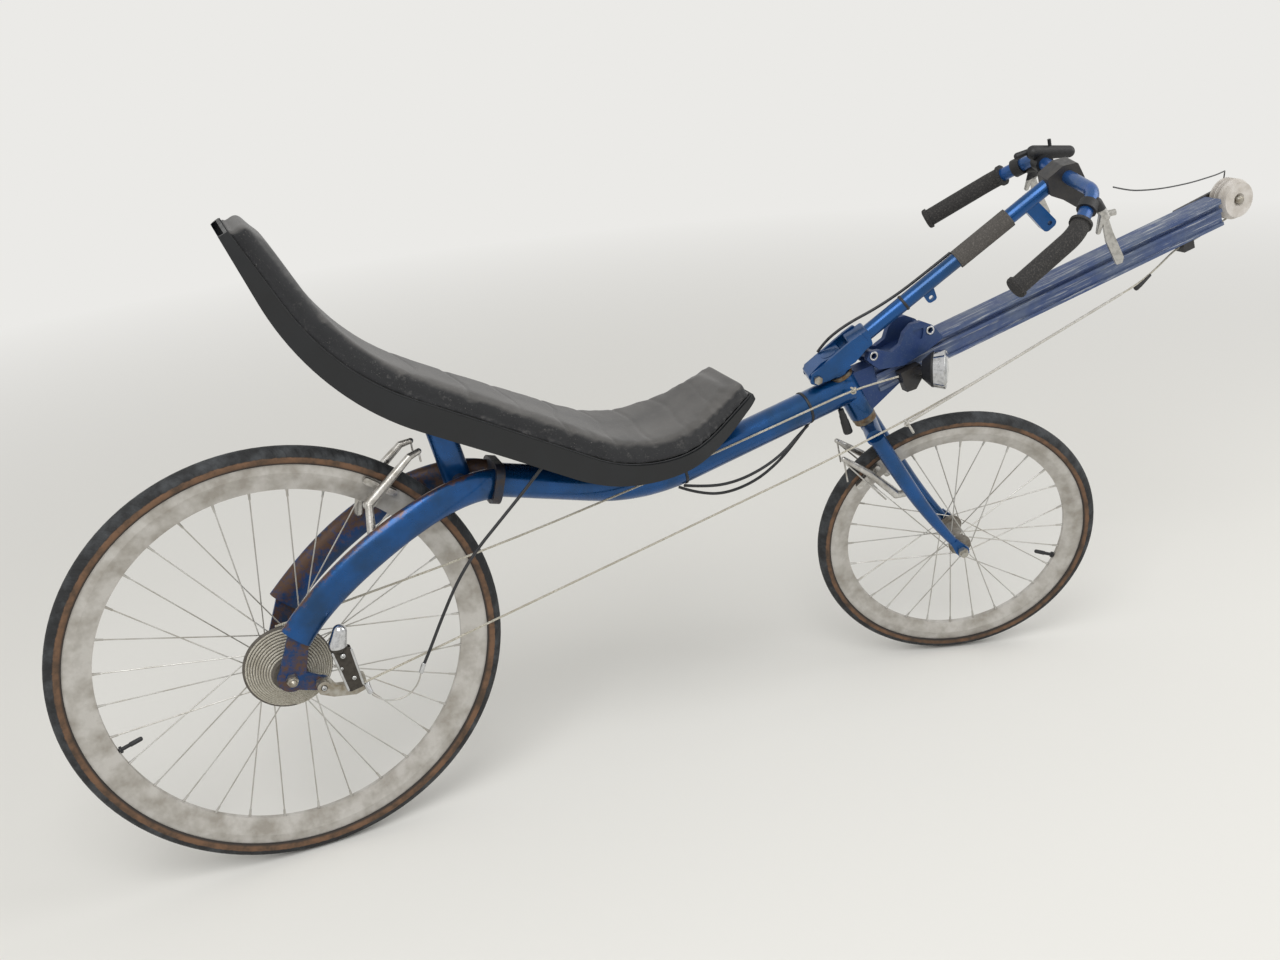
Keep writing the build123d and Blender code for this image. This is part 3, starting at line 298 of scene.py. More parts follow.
def seat_foam():
    """Closed-cell foam: black at its sides, greyer on top as painted light from above mixed with dust and wear,
    with pale specks and rubbed patches.
    """
    material, add, shader = begin("closed_cell_seat_foam")
    placed = add("TexCoord")
    where = placed.outputs["Object"]
    clouds_mm, rubs_mm, pores_mm, cells_mm = 90, 16, 6, 1.4
    # The foam goes from black to grey as its face turns up: painted light from above on the top and painted shade
    # on the sides, over real dust and wear
    top = add("MapRange", add("SeparateXYZ", placed.outputs["Normal"]).outputs["Z"], 0.3, 0.75)
    clouds = add("MapRange", add("TexNoise", where, 1000 / clouds_mm, 5, 0.6), 0.35, 0.7)
    dusty_top_painted_lit = add("Mix", clouds, linear("#3d3c3b"), linear("#565452"), data_type="RGBA")
    base = add("Mix", top, linear("#17181b"), dusty_top_painted_lit, data_type="RGBA")
    rubbed = add("MapRange", add("TexNoise", where, 1000 / rubs_mm, 8, 0.75), 0.58, 0.7, 0, 0.45)
    base = add("Mix", rubbed, base, linear("#666462"), data_type="RGBA")
    cells = add("TexNoise", where, 1000 / cells_mm, 3, 0.7)
    specks = add("MapRange", cells, 0.67, 0.72, 0, 0.8)
    pores = add("Math", cells, add("TexNoise", where, 1000 / pores_mm, 5, 0.6), operation="ADD")
    fill(shader, Base_Color=add("Mix", specks, base, linear("#a9a6a0"), data_type="RGBA"), Roughness=0.9,
         Sheen_Weight=0.2, Sheen_Roughness=0.6, Normal=add("Bump", Strength=0.5, Distance=0.0005, Height=pores))
    return material


# Brushed-on enamel over steel: deep blue under a clear gloss, with bright lights along the tubes
blue_enamel = worn("blue_enamel_on_steel", "#004986", "#033a64", "#0d1118", 90, 0.2, metallic=0.65, coat=0.4,
                   speck=0.5)
# The same enamel with brown rust that breaks through where it faces up
rusty_enamel = worn("rusty_blue_enamel", "#004884", "#043861", "#2e211a", 70, 0.23, metallic=0.65, coat=0.4,
                    speck=0.6, rust=((-0.25, 0, 0.97), "#5e4334", 0.95))
# The same enamel where spray from the wheel has taken its gloss and most of its blue, brown in large patches
rusty_inside = worn("rusty_blue_enamel_inside", "#0b3c72", "#1d3450", "#2e211a", 50, 0.4, metallic=0.4, speck=0.7,
                    rust=((-0.3, -0.75, 0.6), "#57402f", 0.95))
# Enamel rubbed by hands: lighter and greyer, with bare metal specks
worn_enamel = worn("worn_blue_enamel", "#0c4a8e", "#285080", "#8d8f93", 30, 0.3, metallic=0.45, coat=0.4,
                   speck=0.7)
# Anodised extrusion: a greyish blue metal sheen, scratched to bare grey along its length
anodised_blue = worn("blue_anodised_aluminium", "#41527a", "#5c6880", "#b4b7ba", 45, 0.36, metallic=0.4,
                     speck_mm=4, speck=0.75, speck_from=0.54, streaks=spine_place)
# Painted casting: dull dark blue, worn to bare metal in specks
carriage_alloy = worn("painted_carriage_alloy", "#243c6c", "#31466c", "#9a9da3", 30, 0.4, metallic=0.4, speck=0.6)
# Black stove enamel on steel: near black with brown rust specks
black_enamel = worn("black_enamel_on_steel", "#1c1c1f", "#2a2725", "#5c4634", 26, 0.38, coat=0.2, speck=0.6)
# Old dark enamel on the collar: navy gone brown in patches
collar_enamel = worn("rusty_collar_enamel", "#1b2638", "#332a26", "#5c4634", 18, 0.4, speck=0.6)
# Chromed bearing cups: dull yellowish metal with dark rust
rusty_cup = worn("rusty_chromed_steel", "#7f7768", "#6a5238", "#3f2c1e", 9, 0.4, metallic=0.75, speck=0.7)
# Zinc plate: pale grey metal with yellow-brown bloom in patches
zinc_steel = worn("zinc_plated_steel", "#b1aea6", "#8b8170", "#55483a", 14, 0.35, metallic=0.9)
# Drawn stainless wire: bright with a little dirt
spoke_wire = worn("stainless_spoke_wire", "#c4c3bf", "#a8a49c", "#6e675c", 60, 0.28, metallic=0.95)
# Polished rim alloy gone dull: pale silver, chalky patches of oxide and brown brake dust
rim_alloy = worn("oxidised_rim_aluminium", "#c0bdb8", "#9d9890", "#6c6258", 38, 0.42, metallic=0.45, speck=0.5)
# Tumbled cast alloy: soft bright silver, greyer in the corners
cast_alloy = worn("cast_brake_aluminium", "#c6c4c0", "#a19d96", "#4d4740", 14, 0.24, metallic=0.9)
# Turned hub alloy under old grease: dull grey-brown metal
hub_alloy = worn("greasy_hub_aluminium", "#8f8b84", "#6b645a", "#39342d", 11, 0.45, metallic=0.6)
# Chrome plate: a sharp mirror with a few rust specks
chrome = worn("chromed_steel", "#c9cacc", "#b2b2b0", "#6a5f50", 12, 0.12, metallic=1.0, speck=0.4, relief_mm=0.01)
# Vacuum-formed shell: blue-black plastic with a low gloss and dust in fine scratches
shell_plastic = worn("moulded_black_plastic", "#07090c", "#0d1014", "#3d4146", 80, 0.34, speck_mm=1.0, speck=0.2)
# Moulded nylon cap: white gone yellow, satin, with grey dirt
cap_plastic = worn("yellowed_white_plastic", "#c8c3bd", "#aea79e", "#857d73", 30, 0.4, speck=0.2)
# Extruded housing of soft plastic: black with a satin light along it
housing_plastic = worn("pvc_cable_housing", "#18191c", "#242528", "#56575a", 40, 0.38, speck=0.3)
# Pressed glass in front of its mirror: bright, sharp lights in a pale grey
lamp_glass = worn("pressed_lamp_glass", "#b9bcbe", "#8d8f90", "#55534d", 9, 0.07, metallic=0.85, speck=0.4,
                  coat=1.0)
# Turned nylon of the drum: matte brown-grey from the rope's dirt
drum_plastic = worn("worn_drum_nylon", "#5b564e", "#46413b", "#2a2723", 10, 0.6, speck=0.5)
# Moulded edging: black rubber with grey dust
edge_rubber = worn("moulded_edge_rubber", "#131416", "#1f2022", "#5a5a5c", 30, 0.5, speck=0.4)
# Foam sleeve: matte grey-brown with dust in its pores
sleeve_foam = ribbed_rubber("grey_sleeve_foam", "#4b4845", "#7a7570", stem_place, (1, 0, 0.16), 40, 0.95)
# Moulded grips: black with narrow rings and pale dust
grip_rubber = ribbed_rubber("black_grip_rubber", "#232222", "#5d5a56", stem_place, (1, 0, 0.1), 5)
# Moulded boots: smoother black rubber with fine rings
boot_rubber = ribbed_rubber("black_boot_rubber", "#151516", "#3c3b3a", straight_place, (0.3, 0, 1), 4, 0.6)
# Polyester braid: white strands, its grey both weathering dirt and painted shade in the hollows, its strands drawn
# as coarse as they need to show
rope_braid = braided("polyester_rope_braid", "#d6d2c7", "#8f8979")
# Braid over rubber: newer and whiter than the rope
elastic_braid = braided("white_elastic_braid", "#e0ded8", "#a19d94")
old_foam = seat_foam()
rear_tread = tyre_rubber("rear_tyre_rubber", rear_wheel)
front_tread = tyre_rubber("front_tyre_rubber", front_wheel)
# Lamp shell: a chromed rim in front of a black plastic back
silver_tone = ("#bdbbb6", 0.3, 0.85)
black_tone = ("#19191b", 0.5, 0.0)
lamp_shell = two_tone("chromed_and_black_lamp_shell", lamp_place, (1, 0, 0), -4, black_tone,
                      ("#c9cacc", 0.12, 1.0))
# Rope guide: a chromed dome over dark steel plates
guide_shell = two_tone("chromed_and_dark_guide", straight_place, (0, 0, 1), -192, ("#4b4742", 0.4, 0.8),
                       ("#cfd0d2", 0.1, 1.0))
# Controls: cast alloy blades under black plastic bodies
control_shell = two_tone("alloy_and_black_controls", stem_place, (0, 0, 1), 96, silver_tone, black_tone)
# Brake lever: a cast alloy blade under its black band
bare_controls = two_tone("alloy_lever_black_band", stem_place, (0, 0, 1), 112, silver_tone, black_tone)

finish_table = {
    blue_enamel: ["main_tube", "head_tube", "fork", "lever_fork", "lever_tube", "stem_clevis"],
    rusty_enamel: ["right_rear_arm", "seat_strut"],
    rusty_inside: ["left_rear_arm", "left_dropout", "right_dropout"],
    collar_enamel: ["arm_collar"],
    worn_enamel: ["handlebar"],
    anodised_blue: ["boom_rail"],
    carriage_alloy: ["boom_root", "carriage"],
    black_enamel: ["arm_bridge", "seat_bracket", "boom_tip", "lamp_bracket", "bar_clamp", "line_guide"],
    rusty_cup: ["headset_cups", "crown_race"],
    zinc_steel: ["rear_axle", "front_axle", "pivot_bolt", "guide_link"],
    guide_shell: ["guide_body"],
    spoke_wire: ["rear_spokes", "front_spokes"],
    rim_alloy: ["rear_rim", "front_rim"],
    cast_alloy: ["left_rear_brake", "right_rear_brake", "left_front_brake", "right_front_brake"],
    hub_alloy: ["rear_hub", "front_hub"],
    shell_plastic: ["seat_shell"],
    lamp_shell: ["lamp_body"],
    control_shell: ["left_shifter"],
    bare_controls: ["right_brake_lever"],
    sleeve_foam: ["lever_sleeve"],
    grip_rubber: ["left_grip", "right_grip"],
    rope_braid: ["drive_rope", "return_cord"],
    drum_plastic: ["rear_drum"],
    cap_plastic: ["front_pulley"],
    lamp_glass: ["lamp_glass"],
    rear_tread: ["rear_tyre"],
    front_tread: ["front_tyre"],
}
for finish, names in finish_table.items():
    for name in names:
        mesh = nodes[name].data
        mesh.materials.clear()
        mesh.materials.append(finish)


def choose(piece):
    """Selects one piece alone and makes it the active one."""
    bpy.ops.object.select_all(action="DESELECT")
    bpy.context.view_layer.objects.active = piece
    piece.select_set(True)


def settle(piece, name, finish, body="root"):
    """Names a finished piece, gives it its finish and body, and puts its place into its mesh."""
    choose(piece)
    bpy.ops.object.transform_apply(location=True, rotation=True, scale=True)
    piece.name = name
    piece.data.materials.clear()
    piece.data.materials.append(finish)
    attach(piece, body)


def copied(piece, place):
    """A copy of a piece with its own mesh, put at a place given as a matrix."""
    twin = piece.copy()
    twin.data = piece.data.copy()
    scene.collection.objects.link(twin)
    twin.matrix_world = place
    return twin


def drawn_out(start, end, profile, sides=24, bevel_mm=0.3):
    """A round piece drawn out of a disc along a line by extrusions, through (share of the line, radius in mm)."""
    first = Vector(start)
    axis = Vector(end) - first
    share, radius = profile[0]
    bpy.ops.object.select_all(action="DESELECT")
    bpy.ops.mesh.primitive_circle_add(vertices=sides, radius=radius / 1000, fill_type="NGON",
                                      location=first + axis * share,
                                      rotation=axis.to_track_quat("Z", "Y").to_euler())
    piece = bpy.context.object
    bpy.ops.object.mode_set(mode="EDIT")
    bpy.ops.mesh.select_all(action="SELECT")
    for next_share, next_radius in profile[1:]:
        bpy.ops.mesh.extrude_region_move(TRANSFORM_OT_translate={"value": axis * (next_share - share)})
        factor = next_radius / radius
        bpy.ops.transform.resize(value=(factor, factor, factor), center_override=first + axis * next_share)
        share, radius = next_share, next_radius
    bpy.ops.mesh.select_all(action="SELECT")
    bpy.ops.mesh.normals_make_consistent(inside=False)
    bpy.ops.object.mode_set(mode="OBJECT")
    if bevel_mm:
        edge = piece.modifiers.new("edge", "BEVEL")
        edge.width = bevel_mm / 1000
        edge.segments = 2
        bpy.ops.object.modifier_apply(modifier="edge")
    bpy.ops.object.shade_smooth_by_angle(angle=radians(35))
    return piece


def band(centre, axis, radius_mm, thickness_mm, width_mm):
    """A flat ring round an axis: a thin torus stretched along it, its edges softened."""
    bpy.ops.object.select_all(action="DESELECT")
    turn = Vector(axis).to_track_quat("Z", "Y").to_euler()
    bpy.ops.mesh.primitive_torus_add(location=centre, rotation=turn, major_radius=radius_mm / 1000,
                                     minor_radius=thickness_mm / 2000, major_segments=48, minor_segments=8)
    ring = bpy.context.object
    ring.scale = (1, 1, width_mm / thickness_mm)
    bpy.ops.object.shade_smooth()
    return ring


def tube_along(points, radius_mm, closed=False):
    """A smooth round strand through places, made a mesh."""
    curve = bpy.data.curves.new("strand", "CURVE")
    curve.dimensions = "3D"
    curve.bevel_depth = radius_mm / 1000
    curve.bevel_resolution = 2
    curve.use_fill_caps = True
    spline = curve.splines.new("POLY")
    spline.points.add(len(points) - 1)
    for point, place in zip(spline.points, points):
        point.co = (*place, 1)
    spline.use_cyclic_u = closed
    strand = bpy.data.objects.new("strand", curve)
    scene.collection.objects.link(strand)
    choose(strand)
    bpy.ops.object.convert(target="MESH")
    bpy.ops.object.shade_smooth()
    return bpy.context.object


def add_rope_windings():
    """The drive rope in the drum's spiral groove, from its small end to its large end."""
    steps = 400
    places = []
    for step in range(steps + 1):
        share = step / steps
        angle = 2 * pi * groove_turns * share
        radius = (groove_small_radius + (groove_large_radius - groove_small_radius) * share) / 1000
        side = (groove_small_side + (groove_large_side - groove_small_side) * share) / 1000
        places.append(rear_hub + Vector((radius * sin(angle), side, radius * cos(angle))))
    settle(tube_along(places, winding_radius), "rope_windings", rope_braid, "rear_wheel")


def add_knot(name, centre, finish):
    """A tight overhand knot tied in a rope at a place."""
    steps, size, stretch = 72, 0.0019, 1.3
    places = []
    for step in range(steps):
        angle = 2 * pi * step / steps
        loop = Vector((sin(3 * angle) * stretch, sin(angle) + 2 * sin(2 * angle), cos(angle) - 2 * cos(2 * angle)))
        places.append(Vector(centre) + loop * size)
    settle(tube_along(places, rope_radius, closed=True), name, finish)


def add_elastic():
    """The thicker elastic length of the return cord, with its knot and cut end."""
    elastic = drawn_out((0.968, -0.01625, 0.0641), (0.482, -0.0721, -0.0609),
                        [(0, 1.9), (0.01, 2.5), (0.99, 2.5), (1, 1.9)], sides=14)
    settle(elastic, "return_elastic", elastic_braid)
    add_knot("elastic_knot", elastic_knot_place, elastic_braid)
    tail = drawn_out((0.478, -0.074, -0.065), (0.487, -0.0755, -0.082), [(0, 2.1), (0.85, 2.4), (1, 1.5)], sides=12)
    settle(tail, "elastic_tail", elastic_braid)


def add_grip_plugs():
    """A rubber plug that closes each grip's end."""
    for side, across in (("left", 1), ("right", -1)):
        end, elbow = Vector((0.279, 0.192 * across, 0.104)), Vector((0.401, 0.165 * across, 0.115))
        outward = (end - elbow).normalized()
        plug_piece = drawn_out(stem_place @ (end - outward * 0.001), stem_place @ (end + outward * 0.0035),
                               [(0, 15), (0.25, 17.6), (0.7, 17), (1, 13.5)])
        settle(plug_piece, f"grip_plug_{side}", grip_rubber, "lever")


def add_nipples(name, wheel):
    """Spoke nipples: one turned piece copied for each spoke, at the rim's ridge and in line with its spoke."""
    length, rim_offset, lacing = 0.012, 1.2, 4
    nipple = drawn_out((0, 0, 0), (0, 0, length), [(0, 2.2), (0.25, 2.2), (0.3, 1.9), (1, 1.7)], sides=8,
                       bevel_mm=0)
    lean = lacing * 2 * pi / wheel.spokes
    copies = []
    for index in range(wheel.spokes):
        angle = 2 * pi / wheel.spokes * index
        side = wheel.left if index % 2 == 0 else -wheel.right
        skew = lean if index % 4 < 2 else -lean
        foot = Vector((wheel.flange * cos(angle + skew), side, wheel.flange * sin(angle + skew))) / 1000
        offset = rim_offset if side > 0 else -rim_offset
        rim = Vector((wheel.ridge * cos(angle), offset, wheel.ridge * sin(angle))) / 1000
        inward = wheel.place.to_3x3() @ (foot - rim)
        turn = inward.to_track_quat("Z", "Y").to_matrix().to_4x4()
        copies.append(copied(nipple, Matrix.Translation(wheel.place @ rim) @ turn))
    bpy.data.objects.remove(nipple)
    choose(copies[0])
    for piece in copies:
        piece.select_set(True)
    bpy.context.view_layer.update()
    bpy.ops.object.join()
    settle(bpy.context.object, name, spoke_wire, wheel.body)


def add_valve(name, wheel):
    """A slim tyre valve with its threaded stem, lock ring and black cap."""
    direction = Vector((cos(wheel.valve_angle), 0, sin(wheel.valve_angle)))
    above, below = 1, 38
    start = wheel.place @ (direction * (wheel.ridge + above) / 1000)
    end = wheel.place @ (direction * (wheel.ridge - below) / 1000)
    stem = drawn_out(start, end, [(0, 3), (0.08, 3), (0.08, 5.5), (0.16, 5.5), (0.16, 3), (0.5, 3), (0.5, 3.8),
                                  (0.95, 3.5), (1, 2.4)], sides=16)
    settle(stem, name, housing_plastic, wheel.body)


def add_bolts():
    """Bright rings at the foot bolts, the pulley pin's nut and the domes of the rear axle."""
    ring_side = 0.0318
    foot_bolts = ((0.0466, 0.0462), (0.160, 0.0446))
    first = spine_place @ Vector((foot_bolts[0][0], ring_side, foot_bolts[0][1]))
    ring = band(first, (0, 1, 0), 6.4, 3.4, 1.8)
    rings = []
    for index, (ahead, up) in enumerate(foot_bolts):
        for side, label in ((1, "left"), (-1, "right")):
            shift = spine_place @ Vector((ahead, side * ring_side, up)) - first
            bpy.context.view_layer.update()
            twin = copied(ring, Matrix.Translation(shift) @ ring.matrix_world)
            rings.append((twin, f"foot_ring_{label}_{index + 1}"))
    bpy.data.objects.remove(ring)
    for piece, name in rings:
        settle(piece, name, chrome, "carriage")
    nut = drawn_out(spine_place @ Vector((0.842, -0.0145, 0.007)), spine_place @ Vector((0.842, -0.0245, 0.007)),
                    [(0, 8.5), (0.5, 8.5), (0.75, 7.2), (0.95, 4.5), (1, 1.5)], sides=6)
    settle(nut, "pulley_pin_nut", zinc_steel)
    axle_half, cap_depth = 0.0835, 0.009
    for label, side in (("left", 1), ("right", -1)):
        face = rear_hub + Vector((0, side * axle_half, 0))
        dome = drawn_out(face, face + Vector((0, side * cap_depth, 0)),
                         [(0, 7.5), (0.3, 7.5), (0.3, 6.2), (0.7, 5), (1, 1.5)], sides=20)
        settle(dome, f"rear_axle_cap_{label}", zinc_steel)


def add_ties():
    """Strap ties that hold the housings to the main tube and to the lever."""
    tube_axis = (0.974, 0, 0.225)
    front, rear = Vector((0.322, 0, -0.0219)), Vector((0.086, 0, -0.0764))
    tie = band(front, tube_axis, frame_tie_radius, tie_thickness, tie_width)
    bpy.context.view_layer.update()
    rear_tie = copied(tie, Matrix.Translation(rear - front) @ tie.matrix_world)
    settle(tie, "frame_tie_front", housing_plastic)
    settle(rear_tie, "frame_tie_rear", housing_plastic)
    centre, axis = stem_place @ Vector((0.148, 0, 0.0830)), stem_place.to_3x3() @ Vector((0.987, 0, 0.163))
    settle(band(centre, axis, lever_tie_radius, tie_thickness, tie_width), "lever_tie", housing_plastic, "lever")


def add_cable_boot():
    """The rubber boot where the brake cable leaves the head tube."""
    boot = drawn_out((0.383, -0.014, -0.034), (0.396, -0.014, -0.079),
                     [(0, 5), (0.2, 5.2), (0.25, 6.2), (0.45, 6.6), (0.5, 7.4), (0.95, 8.2), (1, 7.4), (1, 3),
                      (0.9, 2.6)])
    settle(boot, "cable_boot", boot_rubber)


def add_guide_trim():
    """Bolts, bright plate edges, pivot and cable barrel of the rope guide."""
    face = -0.0965
    for index, (x, z, radius, reach) in enumerate(((-0.513, -0.206, 4.2, 0.004), (-0.503, -0.246, 3.6, 0.003),
                                                   (-0.518, -0.226, 2.6, 0.0025))):
        bolt = drawn_out((x, face + 0.001, z), (x, face - reach, z),
                         [(0, radius), (0.7, radius), (1, radius * 0.7), (1, radius * 0.45), (0.6, radius * 0.4)],
                         sides=16)
        settle(bolt, f"guide_bolt_{index + 1}", chrome)
    for index, (low_x, low_z, high_x, high_z) in enumerate(((-0.514, -0.266, -0.527, -0.198),
                                                            (-0.4915, -0.262, -0.4995, -0.198))):
        rim = drawn_out((low_x, face + 0.0015, low_z), (high_x, face + 0.0015, high_z),
                        [(0, 1.6), (0.03, 2.2), (0.97, 2.2), (1, 1.6)], sides=12)
        settle(rim, f"guide_edge_{index + 1}", chrome)
    knuckle = drawn_out((-0.548, -0.0855, -0.254), (-0.548, -0.0915, -0.254),
                        [(0, 4.6), (0.6, 4.6), (1, 3.6), (1, 2.2), (0.5, 2)], sides=18)
    settle(knuckle, "guide_pivot", chrome)
    barrel = drawn_out((-0.4865, -0.079, -0.266), (-0.4828, -0.0918, -0.2822),
                       [(0, 5), (0.2, 5.4), (0.3, 4.6), (0.9, 4.2), (1, 3)])
    settle(barrel, "cable_barrel", chrome)


def add_end_trim():
    """The lamp's rim, the ferrule at the guide housing's end and the stop on the return cord."""
    ahead = lamp_place.to_3x3() @ Vector((1, 0, 0))
    settle(band(lamp_place.translation + ahead * 0.0135, ahead, 32, 3.6, 4.5), "lamp_rim", chrome)
    ferrule = drawn_out((-0.4045, -0.096, -0.268), (-0.397, -0.0965, -0.2525),
                        [(0, 3.2), (0.1, 3.7), (0.8, 3.7), (1, 3)])
    settle(ferrule, "guide_ferrule", chrome)
    cone = drawn_out((1.036, -0.0089, 0.0852), (1.000, -0.0118, 0.0655),
                     [(0, 2.6), (0.1, 3), (0.7, 5), (0.95, 5), (1, 4)])
    settle(cone, "cord_stop", boot_rubber)


def even_pad():
    """A copy of the plain seat pad, merged, eased off the shell and remeshed in even cells."""
    cushion = bpy.data.objects.new("seat_cushion", nodes["seat_pad"].data.copy())
    scene.collection.objects.link(cushion)
    choose(cushion)
    bpy.ops.object.mode_set(mode="EDIT")
    bpy.ops.mesh.select_all(action="SELECT")
    bpy.ops.mesh.remove_doubles(threshold=1e-5)
    bpy.ops.mesh.normals_make_consistent(inside=False)
    bpy.ops.transform.shrink_fatten(value=-pad_ease)
    bpy.ops.object.mode_set(mode="OBJECT")
    even = cushion.modifiers.new("even", "REMESH")
    even.mode = "VOXEL"
    even.voxel_size = pad_cell
    bpy.ops.object.modifier_apply(modifier="even")
    return cushion


def roll_edges(cushion, shell):
    """Smooths the pad's edges, the less the nearer they lie to the shell."""
    flat = [v.co.copy() for v in cushion.data.vertices]
    rolled = cushion.modifiers.new("rolled", "SMOOTH")
    rolled.factor = roll_factor
    rolled.iterations = roll_passes
    bpy.ops.object.modifier_apply(modifier="rolled")
    for vertex, start in zip(cushion.data.vertices, flat):
        free = min(1, max(0, (shell.find_nearest(start)[3] - roll_from) / roll_blend))
        vertex.co = start.lerp(vertex.co, free)


def puff_up(cushion, shell):
    """Puffs the pad by a cloth simulation under pressure, held on the shell and to a few millimetres elsewhere."""
    rest = [v.co.copy() for v in cushion.data.vertices]
    puff = cushion.modifiers.new("puff", "CLOTH")
    puff.settings.use_pressure = True
    puff.settings.uniform_pressure_force = puff_pressure
    puff.settings.effector_weights.gravity = 0
    puff.point_cache.frame_end = puff_frames
    for step in range(1, puff_frames + 1):
        scene.frame_set(step)
    bpy.ops.object.modifier_apply(modifier="puff")
    for vertex, start in zip(cushion.data.vertices, rest):
        limit = 0.0 if shell.find_nearest(start)[3] < puff_held_within else puff_limit
        move = vertex.co - start
        if move.length > limit:
            move = move.normalized() * limit
        vertex.co = start + move


def crease(cushion):
    """Presses shallow swaying creases into the seat's top."""
    normals = [v.normal.copy() for v in cushion.data.vertices]
    for vertex, normal in zip(cushion.data.vertices, normals):
        if normal.z > crease_facing and vertex.co.x > creases_from:
            for x, depth, sway in seat_creases:
                off = (vertex.co.x - x - sway * sin(vertex.co.y * 34 + x * 50)) / crease_width
                if abs(off) < 3:
                    vertex.co -= normal * depth / 1000 * exp(-off * off)


def add_bindings(shell):
    """A thin rubber edging along each side, where the pad meets the shell."""
    edge = {}
    for vertex in nodes["seat_pad"].data.vertices:
        if shell.find_nearest(vertex.co)[3] < binding_within:
            step = (vertex.co.x // binding_step, vertex.co.y > 0)
            if step not in edge or abs(vertex.co.y) > abs(edge[step].y):
                edge[step] = vertex.co.copy()
    for on_left, label in ((False, "right"), (True, "left")):
        line = sorted((place for (_, left), place in edge.items() if left == on_left), key=lambda place: place.x)
        settle(tube_along(line, binding_radius_mm), f"seat_binding_{label}", edge_rubber)


def add_seat_cushion():
    """The seat's foam pad, its edges rolled, puffed a little and its top creased, with the edging below it."""
    seat_shell = nodes["seat_shell"].data
    shell = BVHTree.FromPolygons([v.co for v in seat_shell.vertices],
                                 [list(p.vertices) for p in seat_shell.polygons])
    cushion = even_pad()
    roll_edges(cushion, shell)
    puff_up(cushion, shell)
    finer = cushion.modifiers.new("finer", "SUBSURF")
    finer.levels = 1
    finer.render_levels = 1
    bpy.ops.object.modifier_apply(modifier="finer")
    crease(cushion)
    bpy.ops.object.shade_smooth()
    add_bindings(shell)
    settle(cushion, "seat_cushion", old_foam)
    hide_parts("seat_pad")


def spline_length(curve):
    """The length of a curve's own line, in metres."""
    bevel = curve.bevel_depth
    curve.bevel_depth = 0
    probe = bpy.data.objects.new("probe", curve)
    line = bpy.data.meshes.new_from_object(probe)
    bpy.data.objects.remove(probe)
    curve.bevel_depth = bevel
    places = [v.co for v in line.vertices]
    return sum((b - a).length for a, b in zip(places, places[1:]))


# Cord routes, in millimetres, as in the solids; the lever's own is given along the turned stem
upper_route = [(322, -8, -51.3), (303, -12, -62), (268, -18, -86), (225, -20, -105), (176, -20, -116),
               (128, -19, -114), (84, -17.8, -101.5)]
lower_route = [(330, 2, -50.7), (309, 0, -70), (268, -4, -104), (218, -6, -130), (158, -6, -139), (108, -5, -124),
               (80, -4.4, -107.9)]
guide_route = [(-404, -96, -266), (-384, -97, -232), (-361, -97, -190), (-328, -96, -136), (-293, -94, -95),
               (-245, -90, -55), (-195, -88, -12), (-158, -92.1, 26)]
cable_route = [(-481.5, -92, -284), (-470, -93, -297), (-448, -94, -304), (-425, -95, -299), (-408, -96, -281),
               (-404, -96, -266.3)]
top_route = [(1224.6, 24, 212.6), (1228, 25, 232), (1218, 14, 244), (1192, -12, 250), (1146, -41, 253),
             (1096, -68, 257), (1044, -92, 260), (990, -115, 264.5), (936, -137, 270), (882, -158, 277.5),
             (830, -181, 287.5), (776, -209, 304)]
lever_route = [(254, 11, 112.5), (205, 11.5, 104.5), (150, 12.5, 96.5), (100, 14, 94), (60, 17, 95),
               (25, 19.5, 91.5), (0, 21, 84), (-14, 21.4, 76.4)]

# Cords: node, route, frame, diameter in mm, finish, body, far end, lay
cord_table = [
    ("upper_housing", upper_route, straight_place, housing_diameter, housing_plastic, "root", "object", "hanging"),
    ("lower_housing", lower_route, straight_place, housing_diameter, housing_plastic, "root", "object", "hanging"),
    ("guide_housing", guide_route, straight_place, housing_diameter, housing_plastic, "root", "object", "hanging"),
    ("guide_cable", cable_route, straight_place, cable_diameter, spoke_wire, "root", "object", "hanging"),
    ("top_cable", top_route, straight_place, cable_diameter, housing_plastic, "root", "bare", "hanging"),
    ("lever_housing", lever_route, stem_place, housing_diameter, housing_plastic, "lever", "object", "taut"),
]


def add_cords():
    """Cable housings and bare cables, each on its own smooth line in place of its plain solid."""
    for name, route, place, diameter, finish, body, far_end, lay in cord_table:
        curve = bpy.data.curves.new(f"{name}_line", "CURVE")
        curve.dimensions = "3D"
        curve.resolution_u = 12
        curve.bevel_resolution = 4
        curve.use_fill_caps = True
        spots = [place @ (Vector(spot) / 1000) for spot in route]
        spline = curve.splines.new("NURBS")
        spline.points.add(len(spots) - 1)
        for point, spot in zip(spline.points, spots):
            point.co = (*spot, 1)
        spline.order_u = 3
        spline.use_endpoint_u = True
        curve.bevel_depth = diameter / 2000
        curve.materials.append(finish)
        length = spline_length(curve)
        cord = bpy.data.objects.new(f"{name}_line", curve)
        scene.collection.objects.link(cord)
        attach(cord, body)
        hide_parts(name)


def add_stage():
    """A pale floor under the wheels that carries the shadow and fades into the backdrop."""
    bpy.ops.object.select_all(action="DESELECT")
    bpy.ops.mesh.primitive_plane_add(size=80, location=(0, 0, ground))
    floor = bpy.context.object
    floor.name = "floor"
    material, add, shader = begin("pale_studio_floor")
    fill(shader, Base_Color=linear("#e4e3df"), Roughness=0.9, Specular_IOR_Level=0.2)
    away = add("VectorMath", add("TexCoord").outputs["Object"], operation="LENGTH")
    fade_from, fade_to = 1.5, 5.0
    seamless = add("MixShader", add("MapRange", away, fade_from, fade_to), shader,
                   add("Emission", linear(backdrop_colour)))
    plug(material.node_tree.nodes["Material Output"].inputs["Surface"], seamless)
    floor.data.materials.append(material)


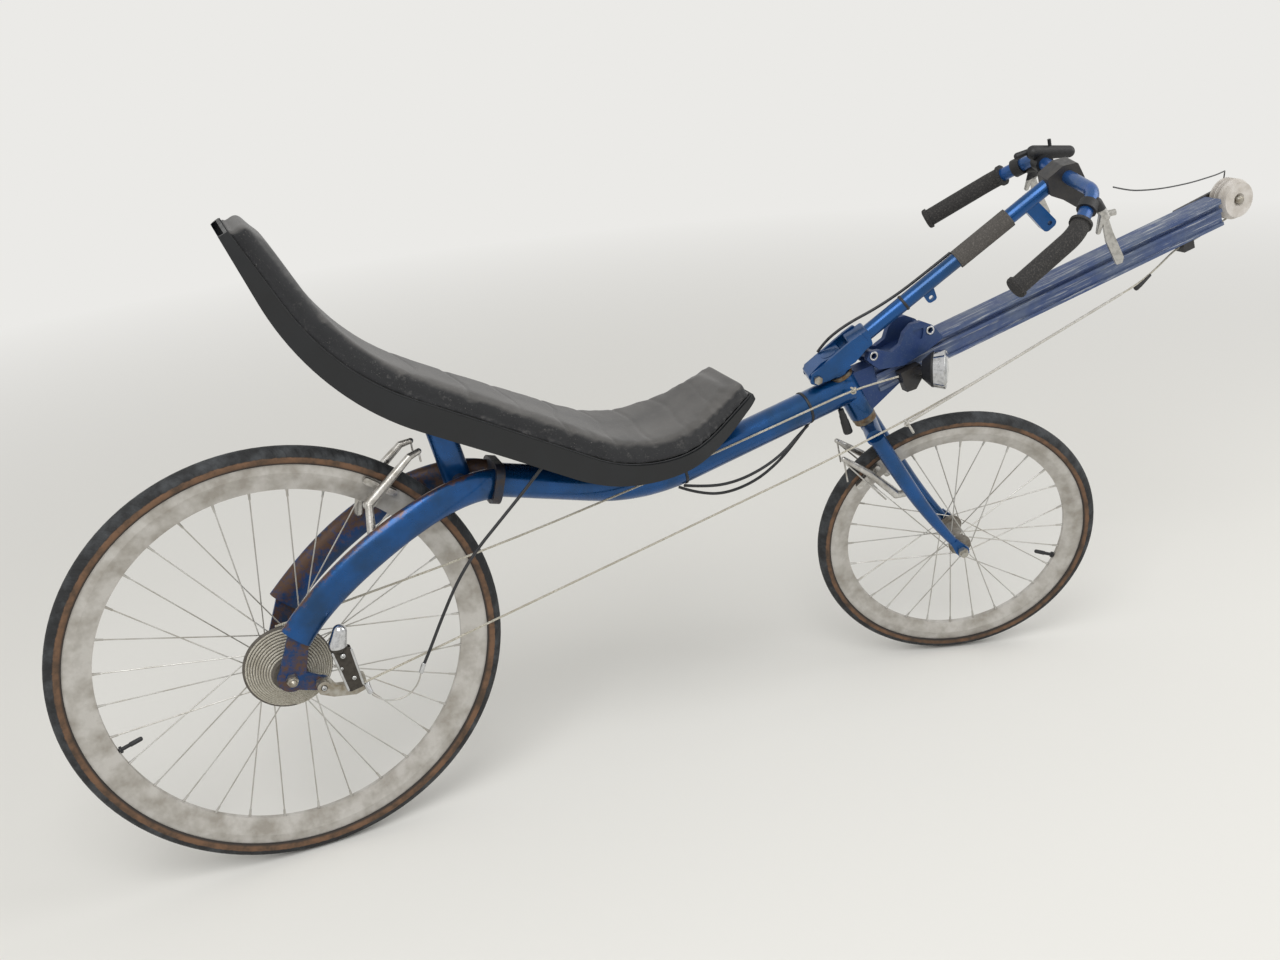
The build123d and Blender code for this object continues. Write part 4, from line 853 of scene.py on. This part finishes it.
def add_camera():
    """The photograph's viewpoint: a look from the right rear, a little from above."""
    yaw, pitch, roll = radians(camera_yaw), radians(camera_pitch), radians(camera_roll)
    look = Vector((sin(yaw) * cos(pitch), cos(yaw) * cos(pitch), -sin(pitch)))
    level_right = Vector((cos(yaw), -sin(yaw), 0))
    level_up = level_right.cross(look)
    right = level_right * cos(roll) + level_up * sin(roll)
    up = -level_right * sin(roll) + level_up * cos(roll)
    place = Matrix((right, up, -look)).transposed().to_4x4()
    place.translation = Vector(camera_place)
    data = bpy.data.cameras.new("camera")
    data.sensor_width = sensor_width
    data.lens = focal_pixels / photo_width * sensor_width
    camera = bpy.data.objects.new("camera", data)
    camera.matrix_world = place
    scene.collection.objects.link(camera)
    scene.camera = camera


def add_light():
    """Soft daylight: a pale sky all round, one large panel high on the right and a weaker one ahead."""
    world = bpy.data.worlds.new("sky")
    scene.world = world
    world.use_nodes = True
    add = partial(node, world.node_tree)
    path = add("LightPath").outputs
    seen = add("Math", path["Is Camera Ray"], path["Is Transmission Ray"], operation="MAXIMUM")
    seen = add("Math", seen, path["Is Glossy Ray"], operation="MAXIMUM")
    lighting, shown = 0.7, 1.0
    fill(world.node_tree.nodes["Background"], Color=linear(backdrop_colour),
         Strength=add("MapRange", seen, 0, 1, lighting, shown))
    aim = Vector((0.1, 0, 0))
    for name, place, size, power in (("sky_panel", (-1.2, -2.2, 3.0), 2.6, 90),
                                     ("fill_panel", (2.6, -1.0, 1.6), 2.0, 25)):
        data = bpy.data.lights.new(name, "AREA")
        data.size = size
        data.energy = power
        lamp = bpy.data.objects.new(name, data)
        lamp.location = place
        lamp.rotation_euler = (aim - Vector(place)).to_track_quat("-Z", "Y").to_euler()
        scene.collection.objects.link(lamp)


add_seat_cushion()
add_cords()
add_rope_windings()
add_knot("rope_knot", rope_knot_place, rope_braid)
add_elastic()
add_grip_plugs()
add_nipples("rear_nipples", rear_wheel)
add_nipples("front_nipples", front_wheel)
add_valve("rear_valve", rear_wheel)
add_valve("front_valve", front_wheel)
add_bolts()
add_ties()
add_cable_boot()
add_guide_trim()
add_end_trim()
add_stage()
add_camera()
add_light()
